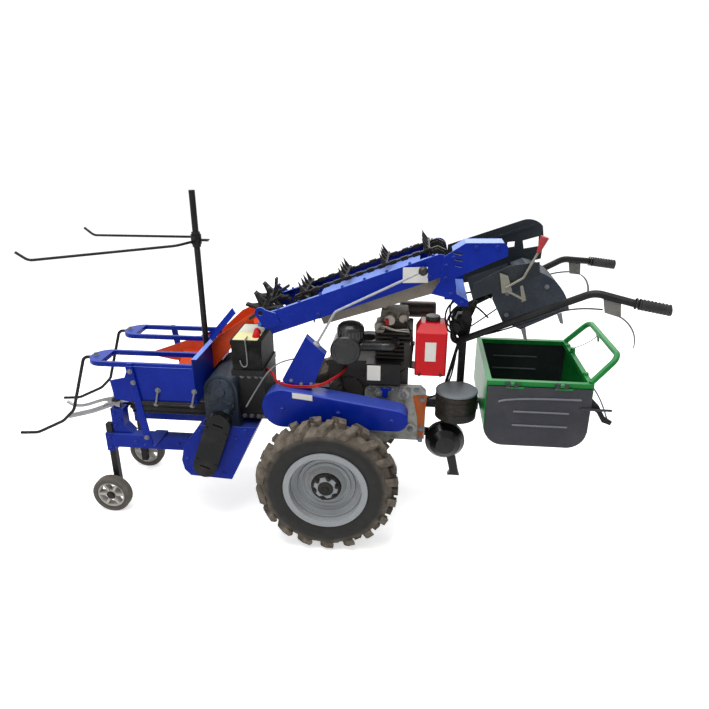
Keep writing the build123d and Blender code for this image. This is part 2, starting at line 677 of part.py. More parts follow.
# Mast on the gate plate, with saddles, and the pair of guide rods clamped to it
with BuildPart() as mast:
    with BuildSketch(Plane.XY.offset(MAST_LOW)):
        with Locations((TROUGH_REAR - MAST_R - 4, MAST_Y)):
            Circle(MAST_R)
    extrude(amount=MAST_TOP - MAST_LOW)
    for saddle_z in (MAST_LOW + 10, GATE_TOP - 50):
        with BuildSketch(Plane.XY.offset(saddle_z)):
            with Locations((TROUGH_REAR - 12, MAST_Y)):
                Rectangle(24, 46 if saddle_z > 700 else 20)
        extrude(amount=30)

    clamp_x = TROUGH_REAR - MAST_R - 4
    with BuildSketch(Plane.XY.offset(GUIDE_Z - 20)):
        with Locations((clamp_x, MAST_Y)):
            Circle(MAST_R + 9)
    extrude(amount=40)
    for side in (-1, 1):
        with BuildLine():
            route = FilletPolyline(
                (clamp_x - 2, MAST_Y + side * (MAST_R + 5), GUIDE_Z + side * 6),
                (AXLE_X - 640, side * 95, GUIDE_Z - 12),
                (AXLE_X - 1181, side * 262, 1203),
                (AXLE_X - 1226, side * 268, 1236),
                radius=[60, 45],
            )
        with BuildSketch(Plane(origin=route @ 0, z_dir=route % 0)):
            Circle(GUIDE_R)
        sweep(path=route)
finish(mast.part, "mast")

# Elevator bed: two folded side channels with lips, tied by a floor between the chain's runs
rise = math.radians(SLOPE)
along = Vector(math.cos(rise), 0, math.sin(rise))
upward = Vector(-math.sin(rise), 0, math.cos(rise))
foot = Vector(FOOT_X, 0, FOOT_Z)


def elevator_plane(y=0.0):
    """The elevator's side view: X up the slope from the foot of the lips, Y square to them."""
    return Plane(origin=foot + Vector(0, y, 0), x_dir=along, z_dir=(0, -1, 0))


with BuildPart() as bed:
    for wall_y in (ELEVATOR_HALF, SHEET - ELEVATOR_HALF):
        with BuildSketch(elevator_plane(wall_y)):
            with BuildLine():
                Polyline((ELEVATOR_LENGTH - 34, 0), (0, 0), (18, -ELEVATOR_DEPTH),
                         (ELEVATOR_LENGTH - 6, -ELEVATOR_DEPTH), (ELEVATOR_LENGTH, -34))
                RadiusArc((ELEVATOR_LENGTH, -34), (ELEVATOR_LENGTH - 34, 0), -34)
            make_face()
        extrude(amount=SHEET)
    for lip_y in (ELEVATOR_HALF, LIP - ELEVATOR_HALF):
        with BuildSketch(elevator_plane(lip_y)):
            Polygon((36, -SHEET), (ELEVATOR_LENGTH - 34, -SHEET), (ELEVATOR_LENGTH - 34, 0), (36, 0), align=None)
        extrude(amount=LIP)
    with BuildSketch(elevator_plane(ELEVATOR_HALF)):
        Polygon((CHAIN_FOOT + 70, -CHAIN_DROP - SHEET), (CHAIN_HEAD - 70, -CHAIN_DROP - SHEET),
                (CHAIN_HEAD - 70, -CHAIN_DROP), (CHAIN_FOOT + 70, -CHAIN_DROP), align=None)
    extrude(amount=2 * ELEVATOR_HALF)
# Under pan: a deep tray below the chain's return run
with BuildPart() as pan:
    for wall_y in (125, -122):
        with BuildSketch(elevator_plane(wall_y)):
            Polygon((225, -ELEVATOR_DEPTH), (ELEVATOR_LENGTH - 20, -ELEVATOR_DEPTH),
                    (ELEVATOR_LENGTH - 10, -ELEVATOR_DEPTH - 66), (225, -ELEVATOR_DEPTH - 40), align=None)
        extrude(amount=SHEET)
    with BuildSketch(elevator_plane(125)):
        Polygon(*folded([(225, -ELEVATOR_DEPTH - 40), (ELEVATOR_LENGTH - 10, -ELEVATOR_DEPTH - 66)], SHEET),
                align=None)
    extrude(amount=250)
    for tab in (225, ELEVATOR_LENGTH - 60):
        with BuildSketch(elevator_plane(ELEVATOR_HALF - SHEET)):
            Polygon((tab, -ELEVATOR_DEPTH - 3), (tab + 30, -ELEVATOR_DEPTH - 3), (tab + 30, -ELEVATOR_DEPTH + 3),
                    (tab, -ELEVATOR_DEPTH + 3), align=None)
        extrude(amount=2 * (ELEVATOR_HALF - SHEET))
finish(pan.part, "elevator_pan")

# Elevator chain: two strands of links round their sprockets, joined by flights with upright tines
LINKS_PER_RUN = 12
with BuildPart() as chain:
    for strand_y in (CHAIN_Y + CHAIN_WIDTH / 2, -CHAIN_Y + CHAIN_WIDTH / 2):
        with BuildSketch(elevator_plane(strand_y)):
            with Locations((CHAIN_FOOT, -CHAIN_DROP), (CHAIN_HEAD, -CHAIN_DROP)):
                RegularPolygon(CHAIN_R + 4, 8, major_radius=False, rotation=22.5)
            make_hull()
            with BuildSketch(mode=Mode.PRIVATE) as inside:
                with Locations((CHAIN_FOOT, -CHAIN_DROP), (CHAIN_HEAD, -CHAIN_DROP)):
                    RegularPolygon(CHAIN_R - 4, 8, major_radius=False, rotation=22.5)
                make_hull()
            add(inside.sketch, mode=Mode.SUBTRACT)
            with Locations((CHAIN_FOOT, -CHAIN_DROP), (CHAIN_HEAD, -CHAIN_DROP)):
                RegularPolygon(CHAIN_R - 6, 8, major_radius=False, rotation=22.5)
                Rectangle(2 * CHAIN_R - 6, 10)
        extrude(amount=CHAIN_WIDTH)
        link_pitch = (CHAIN_HEAD - CHAIN_FOOT) / LINKS_PER_RUN
        with BuildSketch(elevator_plane(strand_y + 2)):
            for run in (1, -1):
                for link in range(LINKS_PER_RUN):
                    with Locations((CHAIN_FOOT + (link + 0.5) * link_pitch, run * CHAIN_R - CHAIN_DROP)):
                        Rectangle(link_pitch * 0.55, 15)
        extrude(amount=CHAIN_WIDTH + 4)
    for shaft in (CHAIN_FOOT, CHAIN_HEAD):
        with BuildSketch(elevator_plane(0)):
            with Locations((shaft, -CHAIN_DROP)):
                RegularPolygon(12, 8)
        extrude(amount=ELEVATOR_HALF - SHEET, both=True)
    flight_pitch = (CHAIN_HEAD - CHAIN_FOOT) / FLIGHTS_PER_RUN * 1.22
    for run in (1, -1):
        for index in range(FLIGHTS_PER_RUN):
            flight = (CHAIN_FOOT + CHAIN_HEAD) / 2 + flight_pitch * (index - (FLIGHTS_PER_RUN - 1) / 2)
            top = -CHAIN_DROP + run * (CHAIN_R + 6)
            with BuildSketch(elevator_plane(0)):
                with Locations((flight, top + run * 2)):
                    Rectangle(26, 8)
            extrude(amount=CHAIN_Y + 30, both=True)
            for tine_y in (-CHAIN_Y - 14, -26, 26, CHAIN_Y + 14):
                with BuildSketch(elevator_plane(tine_y)):
                    Polygon((flight - 12, top), (flight + 10, top), (flight - 6, top + run * FLIGHT_HEIGHT),
                            align=None)
                extrude(amount=4, both=True)
finish(chain.part, "elevator_chain")

# Feed impeller: rubber fingers on a shaft across the foot of the elevator
with BuildPart() as impeller:
    with BuildSketch(elevator_plane(0)):
        with Locations((IMPELLER_ALONG, IMPELLER_RISE)):
            Circle(16)
    extrude(amount=ELEVATOR_HALF - SHEET - MOVE_GAP, both=True)
    with BuildSketch(elevator_plane(0)):
        with Locations((IMPELLER_ALONG, IMPELLER_RISE)):
            Circle(10)
    extrude(amount=ELEVATOR_HALF - 0.5, both=True)
    for row_y in (-115, -40, 40, 115):
        with BuildSketch(elevator_plane(row_y)):
            with Locations((IMPELLER_ALONG, IMPELLER_RISE)):
                with PolarLocations((IMPELLER_R + 10) / 2, FINGERS, start_angle=row_y):
                    Rectangle(IMPELLER_R - 10, 10)
        extrude(amount=14, both=True)
finish(impeller.part, "feed_impeller")

# The impeller's bearing ears on the elevator's sides
with bed:
    for ear_y in (ELEVATOR_HALF + 6, -ELEVATOR_HALF):
        with BuildSketch(elevator_plane(ear_y)):
            with Locations((IMPELLER_ALONG, IMPELLER_RISE)):
                Circle(24)
            Polygon((IMPELLER_ALONG - 8, -60), (IMPELLER_ALONG + 60, -60), (IMPELLER_ALONG + 60, -10),
                    (IMPELLER_ALONG, IMPELLER_RISE + 24), (IMPELLER_ALONG - 24, IMPELLER_RISE), align=None)
            with Locations((IMPELLER_ALONG, IMPELLER_RISE)):
                Circle(10 + RUN_FIT, mode=Mode.SUBTRACT)
        extrude(amount=6)
finish(bed.part, "elevator_bed")

# Elevator head: the left plate with its vents, the bent flange over it, and the rear bracket plates
HEAD_SHAPE = [(432, 1140), (440, 1232), (474, 1256), (521, 1288), (665, 1291), (678, 1277), (680, 1242),
              (525, 1169), (488, 1152), (500, 1086), (470, 1070), (400, 1086)]
VENTS = [(492, 1248, 40), (495, 1224, 36), (499, 1200, 28)]
head_near = -ELEVATOR_HALF
with BuildPart() as head:
    with BuildSketch(side_plane(head_near)):
        Polygon(*[at_axle(x, z) for x, z in HEAD_SHAPE], align=None)
        for x, z, length in VENTS:
            with Locations(at_axle(x, z)):
                SlotOverall(length, 8, rotation=SLOPE - 30, mode=Mode.SUBTRACT)
    extrude(amount=SHEET)
    with BuildSketch(side_plane(ELEVATOR_HALF + SHEET)):
        Polygon(*[at_axle(x, z) for x, z in [(400, 1086), (398, 1137), (545, 1137), (545, 1040)]], align=None)
    extrude(amount=SHEET)
    with BuildSketch(side_plane(head_near + 100)):
        Polygon(*folded([at_axle(665, 1288), at_axle(521, 1285), at_axle(474, 1253)], SHEET), align=None)
    extrude(amount=100)
    for x, z in [(470, 1074), (526, 1052)]:
        with BuildSketch(side_plane(ELEVATOR_HALF)):
            with Locations(at_axle(x, z)):
                Rectangle(36, 20)
        extrude(amount=2 * ELEVATOR_HALF)
    with BuildSketch(side_plane(head_near)):
        Polygon(*[at_axle(x, z) for x, z in [(470, 1072), (500, 1088), (545, 1062), (545, 1040), (508, 1040)]],
                align=None)
    extrude(amount=SHEET)
finish(head.part, "elevator_head")

# Discharge chute: the high right wall with its ribs and windows, the floor and the low left wall
CHUTE_WALL = [(470, 1150), (470, 1212), (775, 1322)]
CHUTE_REAR = [(862, 1300), (872, 1240), (868, 1160), (800, 1140), (640, 1060), (520, 1040)]
RIB = 3
chute_far = ELEVATOR_HALF + 2 * SHEET
with BuildPart() as chute:
    with BuildSketch(side_plane(chute_far)):
        with BuildLine():
            Polyline(*[at_axle(x, z) for x, z in CHUTE_WALL])
            TangentArc(at_axle(775, 1322), at_axle(862, 1300), tangent=(305, 110))
            Polyline(*[at_axle(x, z) for x, z in CHUTE_REAR], at_axle(*CHUTE_WALL[0]))
        make_face()
        Polygon(*[at_axle(x, z) for x, z in [(785, 1236), (850, 1256), (852, 1214), (792, 1202)]], align=None,
                mode=Mode.SUBTRACT)
        Polygon(*[at_axle(x, z) for x, z in [(722, 1204), (722, 1228), (752, 1232), (752, 1210)]], align=None,
                mode=Mode.SUBTRACT)
    extrude(amount=SHEET)
    for ends in [((600, 1222), (826, 1302)), ((600, 1180), (700, 1216))]:
        with BuildSketch(side_plane(chute_far - SHEET)):
            with Locations(*[at_axle(x, z) for x, z in ends]):
                Circle(6)
            make_hull()
        extrude(amount=RIB)
    with BuildSketch(side_plane(ELEVATOR_HALF + SHEET)):
        Polygon(*folded([at_axle(562, 1066), at_axle(728, 1133)], SHEET), align=None)
    extrude(amount=2 * ELEVATOR_HALF + SHEET)
    with BuildSketch(side_plane(head_near + SHEET)):
        Polygon(*[at_axle(x, z) for x, z in [(562, 1067), (728, 1134), (806, 1170), (800, 1222), (690, 1204),
                                             (560, 1130)]], align=None)
    extrude(amount=SHEET)
finish(chute.part, "discharge_chute")

# Discharge hood: a rounded grey hood that turns the ears down into the basket
HOOD_HALF = 105
HOOD_SIDE = [(778, 1176), (731, 1156), (731, 1128), (650, 1096), (643, 1054), (690, 962), (766, 930), (945, 1022)]
with BuildPart() as hood:
    for plate_y in (HOOD_HALF, SHEET - HOOD_HALF):
        with BuildSketch(side_plane(plate_y)):
            with BuildLine():
                Polyline(*[at_axle(x, z) for x, z in HOOD_SIDE])
                ThreePointArc(at_axle(945, 1022), at_axle(893, 1120), at_axle(778, 1176))
            make_face()
        extrude(amount=SHEET)
    with BuildSketch(side_plane(HOOD_HALF)):
        with BuildLine():
            ThreePointArc(at_axle(945, 1022), at_axle(893, 1120), at_axle(778, 1176))
            Polyline(at_axle(778, 1176), at_axle(731, 1156), at_axle(732, 1152), at_axle(778, 1172))
            ThreePointArc(at_axle(778, 1172), at_axle(890, 1117), at_axle(941, 1021))
            Line(at_axle(941, 1021), at_axle(945, 1022))
        make_face()
    extrude(amount=2 * HOOD_HALF)
finish(hood.part, "discharge_hood")

# Gear lever on the chute's left wall: two plates, their link and the rod up to the knob
LEVER_Y = -ELEVATOR_HALF - 15
with BuildPart() as gear_lever:
    with BuildSketch(side_plane(-ELEVATOR_HALF)):
        with Locations(at_axle(682, 1146)):
            Circle(9)
    extrude(amount=12)
    for plate in ([(654, 1179), (686, 1168), (707, 1108), (669, 1099)],
                  [(735, 1129), (745, 1132), (763, 1074), (747, 1066)]):
        with BuildSketch(side_plane(LEVER_Y + 5)):
            Polygon(*[at_axle(x, z) for x, z in plate], align=None)
        extrude(amount=4)
    with BuildLine():
        link = Line((AXLE_X + 687, LEVER_Y, 1110), (AXLE_X + 755, LEVER_Y, 1076))
    with BuildSketch(Plane(origin=link @ 0, z_dir=link % 0)):
        Circle(4.5)
    sweep(path=link)
    with BuildLine():
        rod = FilletPolyline((AXLE_X + 681, LEVER_Y, 1122), (AXLE_X + 743, LEVER_Y, 1162),
                             (AXLE_X + 791, LEVER_Y, 1268), radius=14)
    with BuildSketch(Plane(origin=rod @ 0, z_dir=rod % 0)):
        Circle(4.5)
    sweep(path=rod)
    with BuildSketch(Plane(origin=(AXLE_X + 788, LEVER_Y, 1262), z_dir=(18, 0, 58))):
        Circle(7)
    extrude(amount=60, taper=-9)
finish(gear_lever.part, "gear_lever")

# Main frame: two rails from the gear housing to the transmission, with the belt guard's bracket
with BuildPart() as frame:
    for rail_y in (RAIL_OUT, -RAIL_IN):
        with BuildSketch(side_plane(rail_y)):
            Polygon((HOUSING_REAR, FRAME_LOW), (CASE_FRONT, FRAME_LOW), (CASE_FRONT, FRAME_TOP),
                    (HOUSING_REAR, FRAME_TOP), align=None)
        extrude(amount=RAIL_OUT - RAIL_IN)
    with BuildSketch(side_plane(0)):
        for tie_x in (HOUSING_REAR + 20, CASE_FRONT - 60):
            with Locations((tie_x, (FRAME_LOW + FRAME_TOP) / 2)):
                Rectangle(40, 40)
    extrude(amount=RAIL_IN, both=True)
    with BuildSketch(side_plane(-RAIL_OUT)):
        with Locations((GUARD_FRONT_X, FRAME_TOP - 22)):
            Rectangle(50, 40)
    extrude(amount=-GUARD_FAR - RAIL_OUT)
finish(frame.part, "main_frame")

# Transmission: bolted case, left cover, and the leg and tubes that carry the half shafts
CASE_BOSSES = [(200, 634, 20, 12), (305, 632, 26, 14), (338, 470, 24, 12)]
CASE_BOSSES += [(160 + 33 * bolt, 654, 6, 6) for bolt in range(7)]
with BuildPart() as transmission:
    with BuildSketch(side_plane(CASE_HALF)):
        Polygon((CASE_FRONT, CASE_LOW), (CASE_REAR, CASE_LOW), (CASE_REAR, FRAME_TOP), (CASE_FRONT, FRAME_TOP),
                align=None)
    extrude(amount=2 * CASE_HALF)
    with BuildSketch(side_plane(-CASE_HALF)):
        Polygon((CASE_FRONT, CASE_LOW + 10), (CASE_REAR - 12, CASE_LOW + 10), (CASE_REAR, CASE_LOW + 40),
                (CASE_REAR, 640), (CASE_REAR - 22, 662), (CASE_FRONT + 24, 662), (CASE_FRONT, 636), align=None)
    extrude(amount=CASE_COVER)
    with BuildSketch(side_plane(0)):
        with Locations((AXLE_X, TYRE_R)):
            Circle(74)
        with Locations((AXLE_X + 260, CASE_LOW + 50)):
            Circle(62)
        make_hull()
    extrude(amount=58, both=True)
    with BuildSketch(side_plane(0)):
        with Locations((AXLE_X, TYRE_R)):
            Circle(TUBE_R)
    extrude(amount=TUBE_END, both=True)
    for end in (TUBE_END, 12 - TUBE_END):
        with BuildSketch(side_plane(end)):
            with Locations((AXLE_X, TYRE_R)):
                Circle(54)
        extrude(amount=12)
    for x, z, radius, depth in CASE_BOSSES:
        with BuildSketch(side_plane(-CASE_HALF - CASE_COVER)):
            with Locations(at_axle(x, z)):
                Circle(radius)
        extrude(amount=depth)
    with BuildSketch(side_plane(0)):
        with Locations((AXLE_X, TYRE_R)):
            Circle(SHAFT_R + RUN_FIT)
    extrude(amount=TUBE_END, both=True, mode=Mode.SUBTRACT)
    with BuildSketch(side_plane(-CASE_HALF - CASE_COVER)):
        with Locations((GUARD_REAR_X, GUARD_REAR_Z)):
            Circle(24)
    extrude(amount=-GUARD_FAR - CASE_HALF - CASE_COVER)
finish(transmission.part, "transmission")

# Belt guard: a deep pressed cover round the drive belts, large at the gear housing's end
with BuildPart() as guard:
    with BuildSketch(side_plane(GUARD_FAR)):
        with Locations((GUARD_FRONT_X, GUARD_FRONT_Z)):
            Circle(GUARD_FRONT_R)
        with Locations((GUARD_REAR_X, GUARD_REAR_Z)):
            Circle(GUARD_REAR_R)
        make_hull()
    extrude(amount=GUARD_DEPTH)
    fillet(guard.faces().sort_by(Axis.Y)[0].edges(), radius=10)
finish(guard.part, "belt_guard")

# Engine: an air-cooled diesel with its fins, fan shroud, mounts and the tank's shelf
with BuildPart() as engine:
    with BuildSketch(Plane.XY.offset(FRAME_TOP)):
        Polygon((ENGINE_FRONT, ENGINE_NEAR), (ENGINE_REAR, ENGINE_NEAR), (ENGINE_REAR, ENGINE_FAR),
                (ENGINE_FRONT, ENGINE_FAR), align=None)
    extrude(amount=ENGINE_DECK - FRAME_TOP)
    with BuildSketch(Plane.XY.offset(ENGINE_DECK)):
        with Locations((BARREL_X, 0)):
            Rectangle(110, 110)
    extrude(amount=BARREL_TOP - ENGINE_DECK)
    fin_pitch = (BARREL_TOP - ENGINE_DECK - 30) / FINS
    for fin in range(FINS):
        with BuildSketch(Plane.XY.offset(ENGINE_DECK + 12 + fin * fin_pitch)):
            with Locations((BARREL_X, 0)):
                RectangleRounded(160, 156, 14)
        extrude(amount=5)
    with BuildSketch(Plane.XY.offset(BARREL_TOP)):
        with Locations((BARREL_X, 0)):
            RectangleRounded(122, 92, 14)
    extrude(amount=40, taper=8)
    with BuildSketch(Plane.XY.offset(ENGINE_DECK)):
        with Locations((ENGINE_REAR - 6, -70)):
            Rectangle(28, 34)
    extrude(amount=88)
    with BuildSketch(side_plane(ENGINE_NEAR)):
        with Locations((AXLE_X + 70, 625)):
            Circle(60)
    extrude(amount=14)
    with BuildSketch(side_plane(ENGINE_FAR)):
        with Locations((AXLE_X + 140, 690)):
            Circle(120)
    extrude(amount=-45)
    with BuildSketch(side_plane(ENGINE_NEAR)):
        with Locations((AXLE_X + 15, 655)):
            Circle(27)
    extrude(amount=56)
    with BuildSketch(Plane.XY.offset(TANK_LOW - 6)):
        Polygon((ENGINE_REAR, ENGINE_NEAR), (TANK_X + TANK_LENGTH, ENGINE_NEAR - 70), (TANK_X + TANK_LENGTH, -62),
                (ENGINE_REAR, -20), align=None)
    extrude(amount=6)
finish(engine.part, "engine")

with BuildPart() as cleaner:
    with BuildSketch(side_plane(CLEANER_NEAR + CLEANER_DEPTH)):
        with Locations((CLEANER_X, CLEANER_Z)):
            Circle(CLEANER_R)
    extrude(amount=CLEANER_DEPTH)
    chamfer(cleaner.faces().sort_by(Axis.Y)[0].edges(), 6)
    with BuildSketch(Plane.XY.offset(ENGINE_DECK)):
        with Locations((CLEANER_X, -70)):
            Rectangle(50, 30)
    extrude(amount=30)
    with BuildLine():
        pipe = FilletPolyline(
            (CLEANER_X, -140, CLEANER_Z + 8), (AXLE_X + 262, -140, CLEANER_Z + 14),
            (AXLE_X + 262, -78.5, CLEANER_Z + 14), radius=32,
        )
    with BuildSketch(Plane(origin=pipe @ 0, z_dir=pipe % 0)):
        Circle(20)
    sweep(path=pipe)
finish(cleaner.part, "air_cleaner")

MUFFLER_Y = 126
MUFFLER_Z = 930
with BuildPart() as muffler:
    with BuildSketch(Plane.YZ.offset(AXLE_X + 272)):
        with Locations((MUFFLER_Y, MUFFLER_Z)):
            Circle(36)
    extrude(amount=160)
    chamfer(muffler.edges().filter_by(GeomType.CIRCLE), 7)
    with BuildSketch(side_plane(MUFFLER_Y)):
        with Locations((AXLE_X + 300, BARREL_TOP - 12)):
            Circle(10)
    extrude(amount=MUFFLER_Y - 55)
finish(muffler.part, "muffler")

with BuildPart() as control_box:
    with BuildSketch(side_plane(ENGINE_NEAR)):
        Polygon(*[at_axle(x, z) for x, z in [(145, 682), (289, 682), (289, 772), (145, 772)]], align=None)
    extrude(amount=62)
finish(control_box.part, "control_box")

# Fuel tank: moulded, with a shoulder that slopes back to the filler and its cap
with BuildPart() as tank:
    with BuildSketch(side_plane(TANK_NEAR + TANK_DEPTH)):
        with Locations((TANK_X + TANK_LENGTH / 2, (TANK_LOW + TANK_SHOULDER) / 2)):
            Rectangle(TANK_LENGTH, TANK_SHOULDER - TANK_LOW)
    extrude(amount=TANK_DEPTH)
    with BuildSketch(Plane.XY.offset(TANK_SHOULDER)):
        with Locations((TANK_X + TANK_LENGTH / 2, TANK_NEAR + TANK_DEPTH / 2)):
            Rectangle(TANK_LENGTH, TANK_DEPTH)
    with BuildSketch(Plane.XY.offset(TANK_TOP)):
        with Locations((TANK_X + TANK_LENGTH / 2 + 4, TANK_NEAR + TANK_DEPTH / 2 + 14)):
            Rectangle(TANK_LENGTH - 34, TANK_DEPTH - 40)
    loft()
    fillet(tank.edges().filter_by(Axis.Z), radius=14)
    with BuildSketch(Plane.XY.offset(TANK_TOP)):
        with Locations((TANK_X + TANK_LENGTH / 2 + 4, TANK_NEAR + TANK_DEPTH / 2 + 14)):
            Circle(28)
    extrude(amount=20)
finish(tank.part, "fuel_tank")

# Lever console on the belt guard, with the long shift lever
with BuildPart() as console:
    lean_guard = math.atan2(GUARD_FRONT_Z - GUARD_REAR_Z, GUARD_REAR_X - GUARD_FRONT_X)
    lean_guard += math.asin((GUARD_FRONT_R - GUARD_REAR_R) / math.hypot(GUARD_REAR_X - GUARD_FRONT_X, 35))
    top_x = GUARD_FRONT_X + GUARD_FRONT_R * math.sin(lean_guard)
    top_z = GUARD_FRONT_Z + GUARD_FRONT_R * math.cos(lean_guard)

    def guard_top(x):
        return top_z - (x - top_x) * math.tan(lean_guard)

    with BuildSketch(side_plane(GUARD_FAR)):
        front, rear = AXLE_X - 172, AXLE_X - 84
        Polygon((front, guard_top(front)), (rear, guard_top(rear)), at_axle(-62, 706), at_axle(-14, 830),
                at_axle(-95, 905), at_axle(-198, 712), align=None)
    extrude(amount=45)
finish(console.part, "lever_console")

with BuildPart() as lever:
    boot_plane = Plane(origin=(AXLE_X - 54, -194, 867.04), x_dir=(0, -1, 0), z_dir=(75, 0, 81))
    with BuildSketch(boot_plane):
        Circle(16)
    extrude(amount=9, taper=15)
    with BuildLine():
        rod = FilletPolyline(
            (AXLE_X - 52, -194, 871), (AXLE_X + 25, -196, 1010), (AXLE_X + 365, -196, 1183), radius=30,
        )
    with BuildSketch(Plane(origin=rod @ 0, z_dir=rod % 0)):
        Circle(5)
    sweep(path=rod)
    with Locations((AXLE_X + 365, -196, 1183)):
        Sphere(18)
finish(lever.part, "shift_lever")

# Side bracket: the rusty plate down the transmission cover's rear edge
with BuildPart() as bracket:
    with BuildSketch(side_plane(-CASE_HALF - CASE_COVER)):
        Polygon(*[at_axle(x, z) for x, z in [(345, 622), (405, 630), (398, 520), (392, 402), (374, 402),
                                             (366, 520)]], align=None)
    extrude(amount=4)
finish(bracket.part, "side_bracket")

# Handle column on an arm off the transmission, with the can's shelf
with BuildPart() as column:
    with BuildSketch(side_plane(COLUMN_HALF)):
        Polygon((CASE_REAR, 520), (BASKET_FRONT, 520), (BASKET_FRONT, 560), at_axle(563, 560),
                at_axle(563, COLUMN_TOP), at_axle(520, COLUMN_TOP), at_axle(498, 900), at_axle(533, 850),
                at_axle(533, 560), (CASE_REAR, 560), align=None)
    extrude(amount=2 * COLUMN_HALF)
    with BuildLine():
        stay = Line((AXLE_X + 536, 0, 845), (AXLE_X + 468, 0, 552))
    with BuildSketch(Plane(origin=stay @ 0, z_dir=stay % 0)):
        Circle(7)
    sweep(path=stay)
    with BuildSketch(Plane.XY.offset(CAN_LOW - 6)):
        with Locations((CAN_X - 30, (CAN_Y - COLUMN_HALF) / 2)):
            Rectangle(70, COLUMN_HALF - CAN_Y - 2 * COLUMN_HALF + 20)
    extrude(amount=6)
with BuildPart() as can:
    with BuildSketch(Plane.XY.offset(CAN_LOW)):
        with Locations((CAN_X, CAN_Y)):
            Circle(CAN_R)
    extrude(amount=CAN_HEIGHT)
    chamfer(can.faces().sort_by(Axis.Z)[-1].edges(), 5)
finish(can.part, "rear_can")

with BuildPart() as bowl:
    bowl_axis = Axis((BOWL_X, 0, BOWL_Z), (0, 1, 0))
    with BuildSketch(Plane(origin=(BOWL_X, 0, BOWL_Z), x_dir=(0, -1, 0), z_dir=(-1, 0, 0))):
        Polygon((60, 0), (60, 70), (78, BOWL_R), (104, BOWL_R), (132, 66), (150, 40), (156, 0), align=None)
    revolve(axis=bowl_axis)
    with BuildSketch(side_plane(-54)):
        Polygon((CASE_REAR, CASE_LOW), (BOWL_X, CASE_LOW - 20), (BOWL_X, CASE_LOW + 30),
                (CASE_REAR, CASE_LOW + 40), align=None)
    extrude(amount=6)
    with BuildSketch(side_plane(-70)):
        Polygon(*[at_axle(x, z) for x, z in [(500, 330), (540, 335), (560, 240), (566, 222), (512, 222),
                                             (522, 240)]], align=None)
    extrude(amount=24)
finish(bowl.part, "rear_bowl")

# Handlebars: one tube bent round the column's front, out and back to the grips
bar_points = (
    # from the axle, from the middle, height, bend radius
    (GRIP_START + 20, -330.6, 1115, 0),
    (GRIP_START, -328, 1118, 60),
    (BEND_X - AXLE_X, -BEND_Y, BEND_Z, 90),
    (502, -44, 838, 38),
    (515, 81, 939, 38),
    (BEND_X - AXLE_X, BEND_Y, BEND_Z, 90),
    (GRIP_START, 328, 1118, 60),
    (GRIP_START + 20, 330.6, 1115, 0),
)
with column:
    with BuildLine():
        tube = FilletPolyline(
            *[(AXLE_X + x, y, z) for x, y, z, bend in bar_points],
            radius=[bend for x, y, z, bend in bar_points[1:-1]],
        )
    with BuildSketch(Plane(origin=tube @ 0, z_dir=tube % 0)):
        Circle(BAR_R)
    sweep(path=tube)
finish(column.part, "handle_frame")

with BuildPart() as grip:
    with BuildSketch(Plane(origin=tube @ 0, z_dir=(tube % 0) * -1)):
        Circle(GRIP_R)
    extrude(amount=120)
    split(bisect_by=Plane(origin=(AXLE_X + GRIP_REACH, 0, 0), z_dir=(1, 0, 0)), keep=Keep.BOTTOM)
finish_pair(grip.part, "grip")

# Clutch levers: a bracket plate under each bar and the thin curved blade behind it
bar_line = Vector(GRIP_START - BEND_X + AXLE_X, BEND_Y - 328, 1118 - BEND_Z).normalized()
bar_side = Vector(bar_line.Y, -bar_line.X, 0)
lever_root = Vector(BEND_X, -BEND_Y, BEND_Z) + bar_line * 36
with BuildPart() as clutch_lever:
    with BuildSketch(Plane(origin=lever_root + bar_side * 2, x_dir=bar_line, z_dir=bar_side)):
        Polygon((0, -BAR_R), (62, -BAR_R), (76, -64), (18, -62), align=None)
    extrude(amount=-4)
    with BuildSketch(Plane(origin=lever_root + bar_side * 5, x_dir=bar_line, z_dir=bar_side)):
        with BuildLine():
            ThreePointArc((60, -58), (124, -92), (150, -160))
            Line((150, -160), (147, -160))
            ThreePointArc((147, -160), (121, -94), (60, -61))
            Line((60, -61), (60, -58))
        make_face()
    extrude(amount=-10)
finish_pair(clutch_lever.part, "clutch_lever")

# Basket: a bathtub of sheet between a rim of square tube, with a fixed right panel and a left door
tub_half = BASKET_HALF - SHEET


def tub_outline(inset):
    """Side view of the basket's tub, upright ends and rounded lower corners, set in by a distance."""
    low, front, rear = BASKET_LOW + inset, BASKET_FRONT + inset, BASKET_REAR - inset
    corner = BASKET_CORNER - inset
    Polyline((front, low + corner), (front, BASKET_TOP), (rear, BASKET_TOP), (rear, low + corner))
    RadiusArc((rear, low + corner), (rear - corner, low), corner)
    Line((rear - corner, low), (front + corner, low))
    RadiusArc((front + corner, low), (front, low + corner), corner)


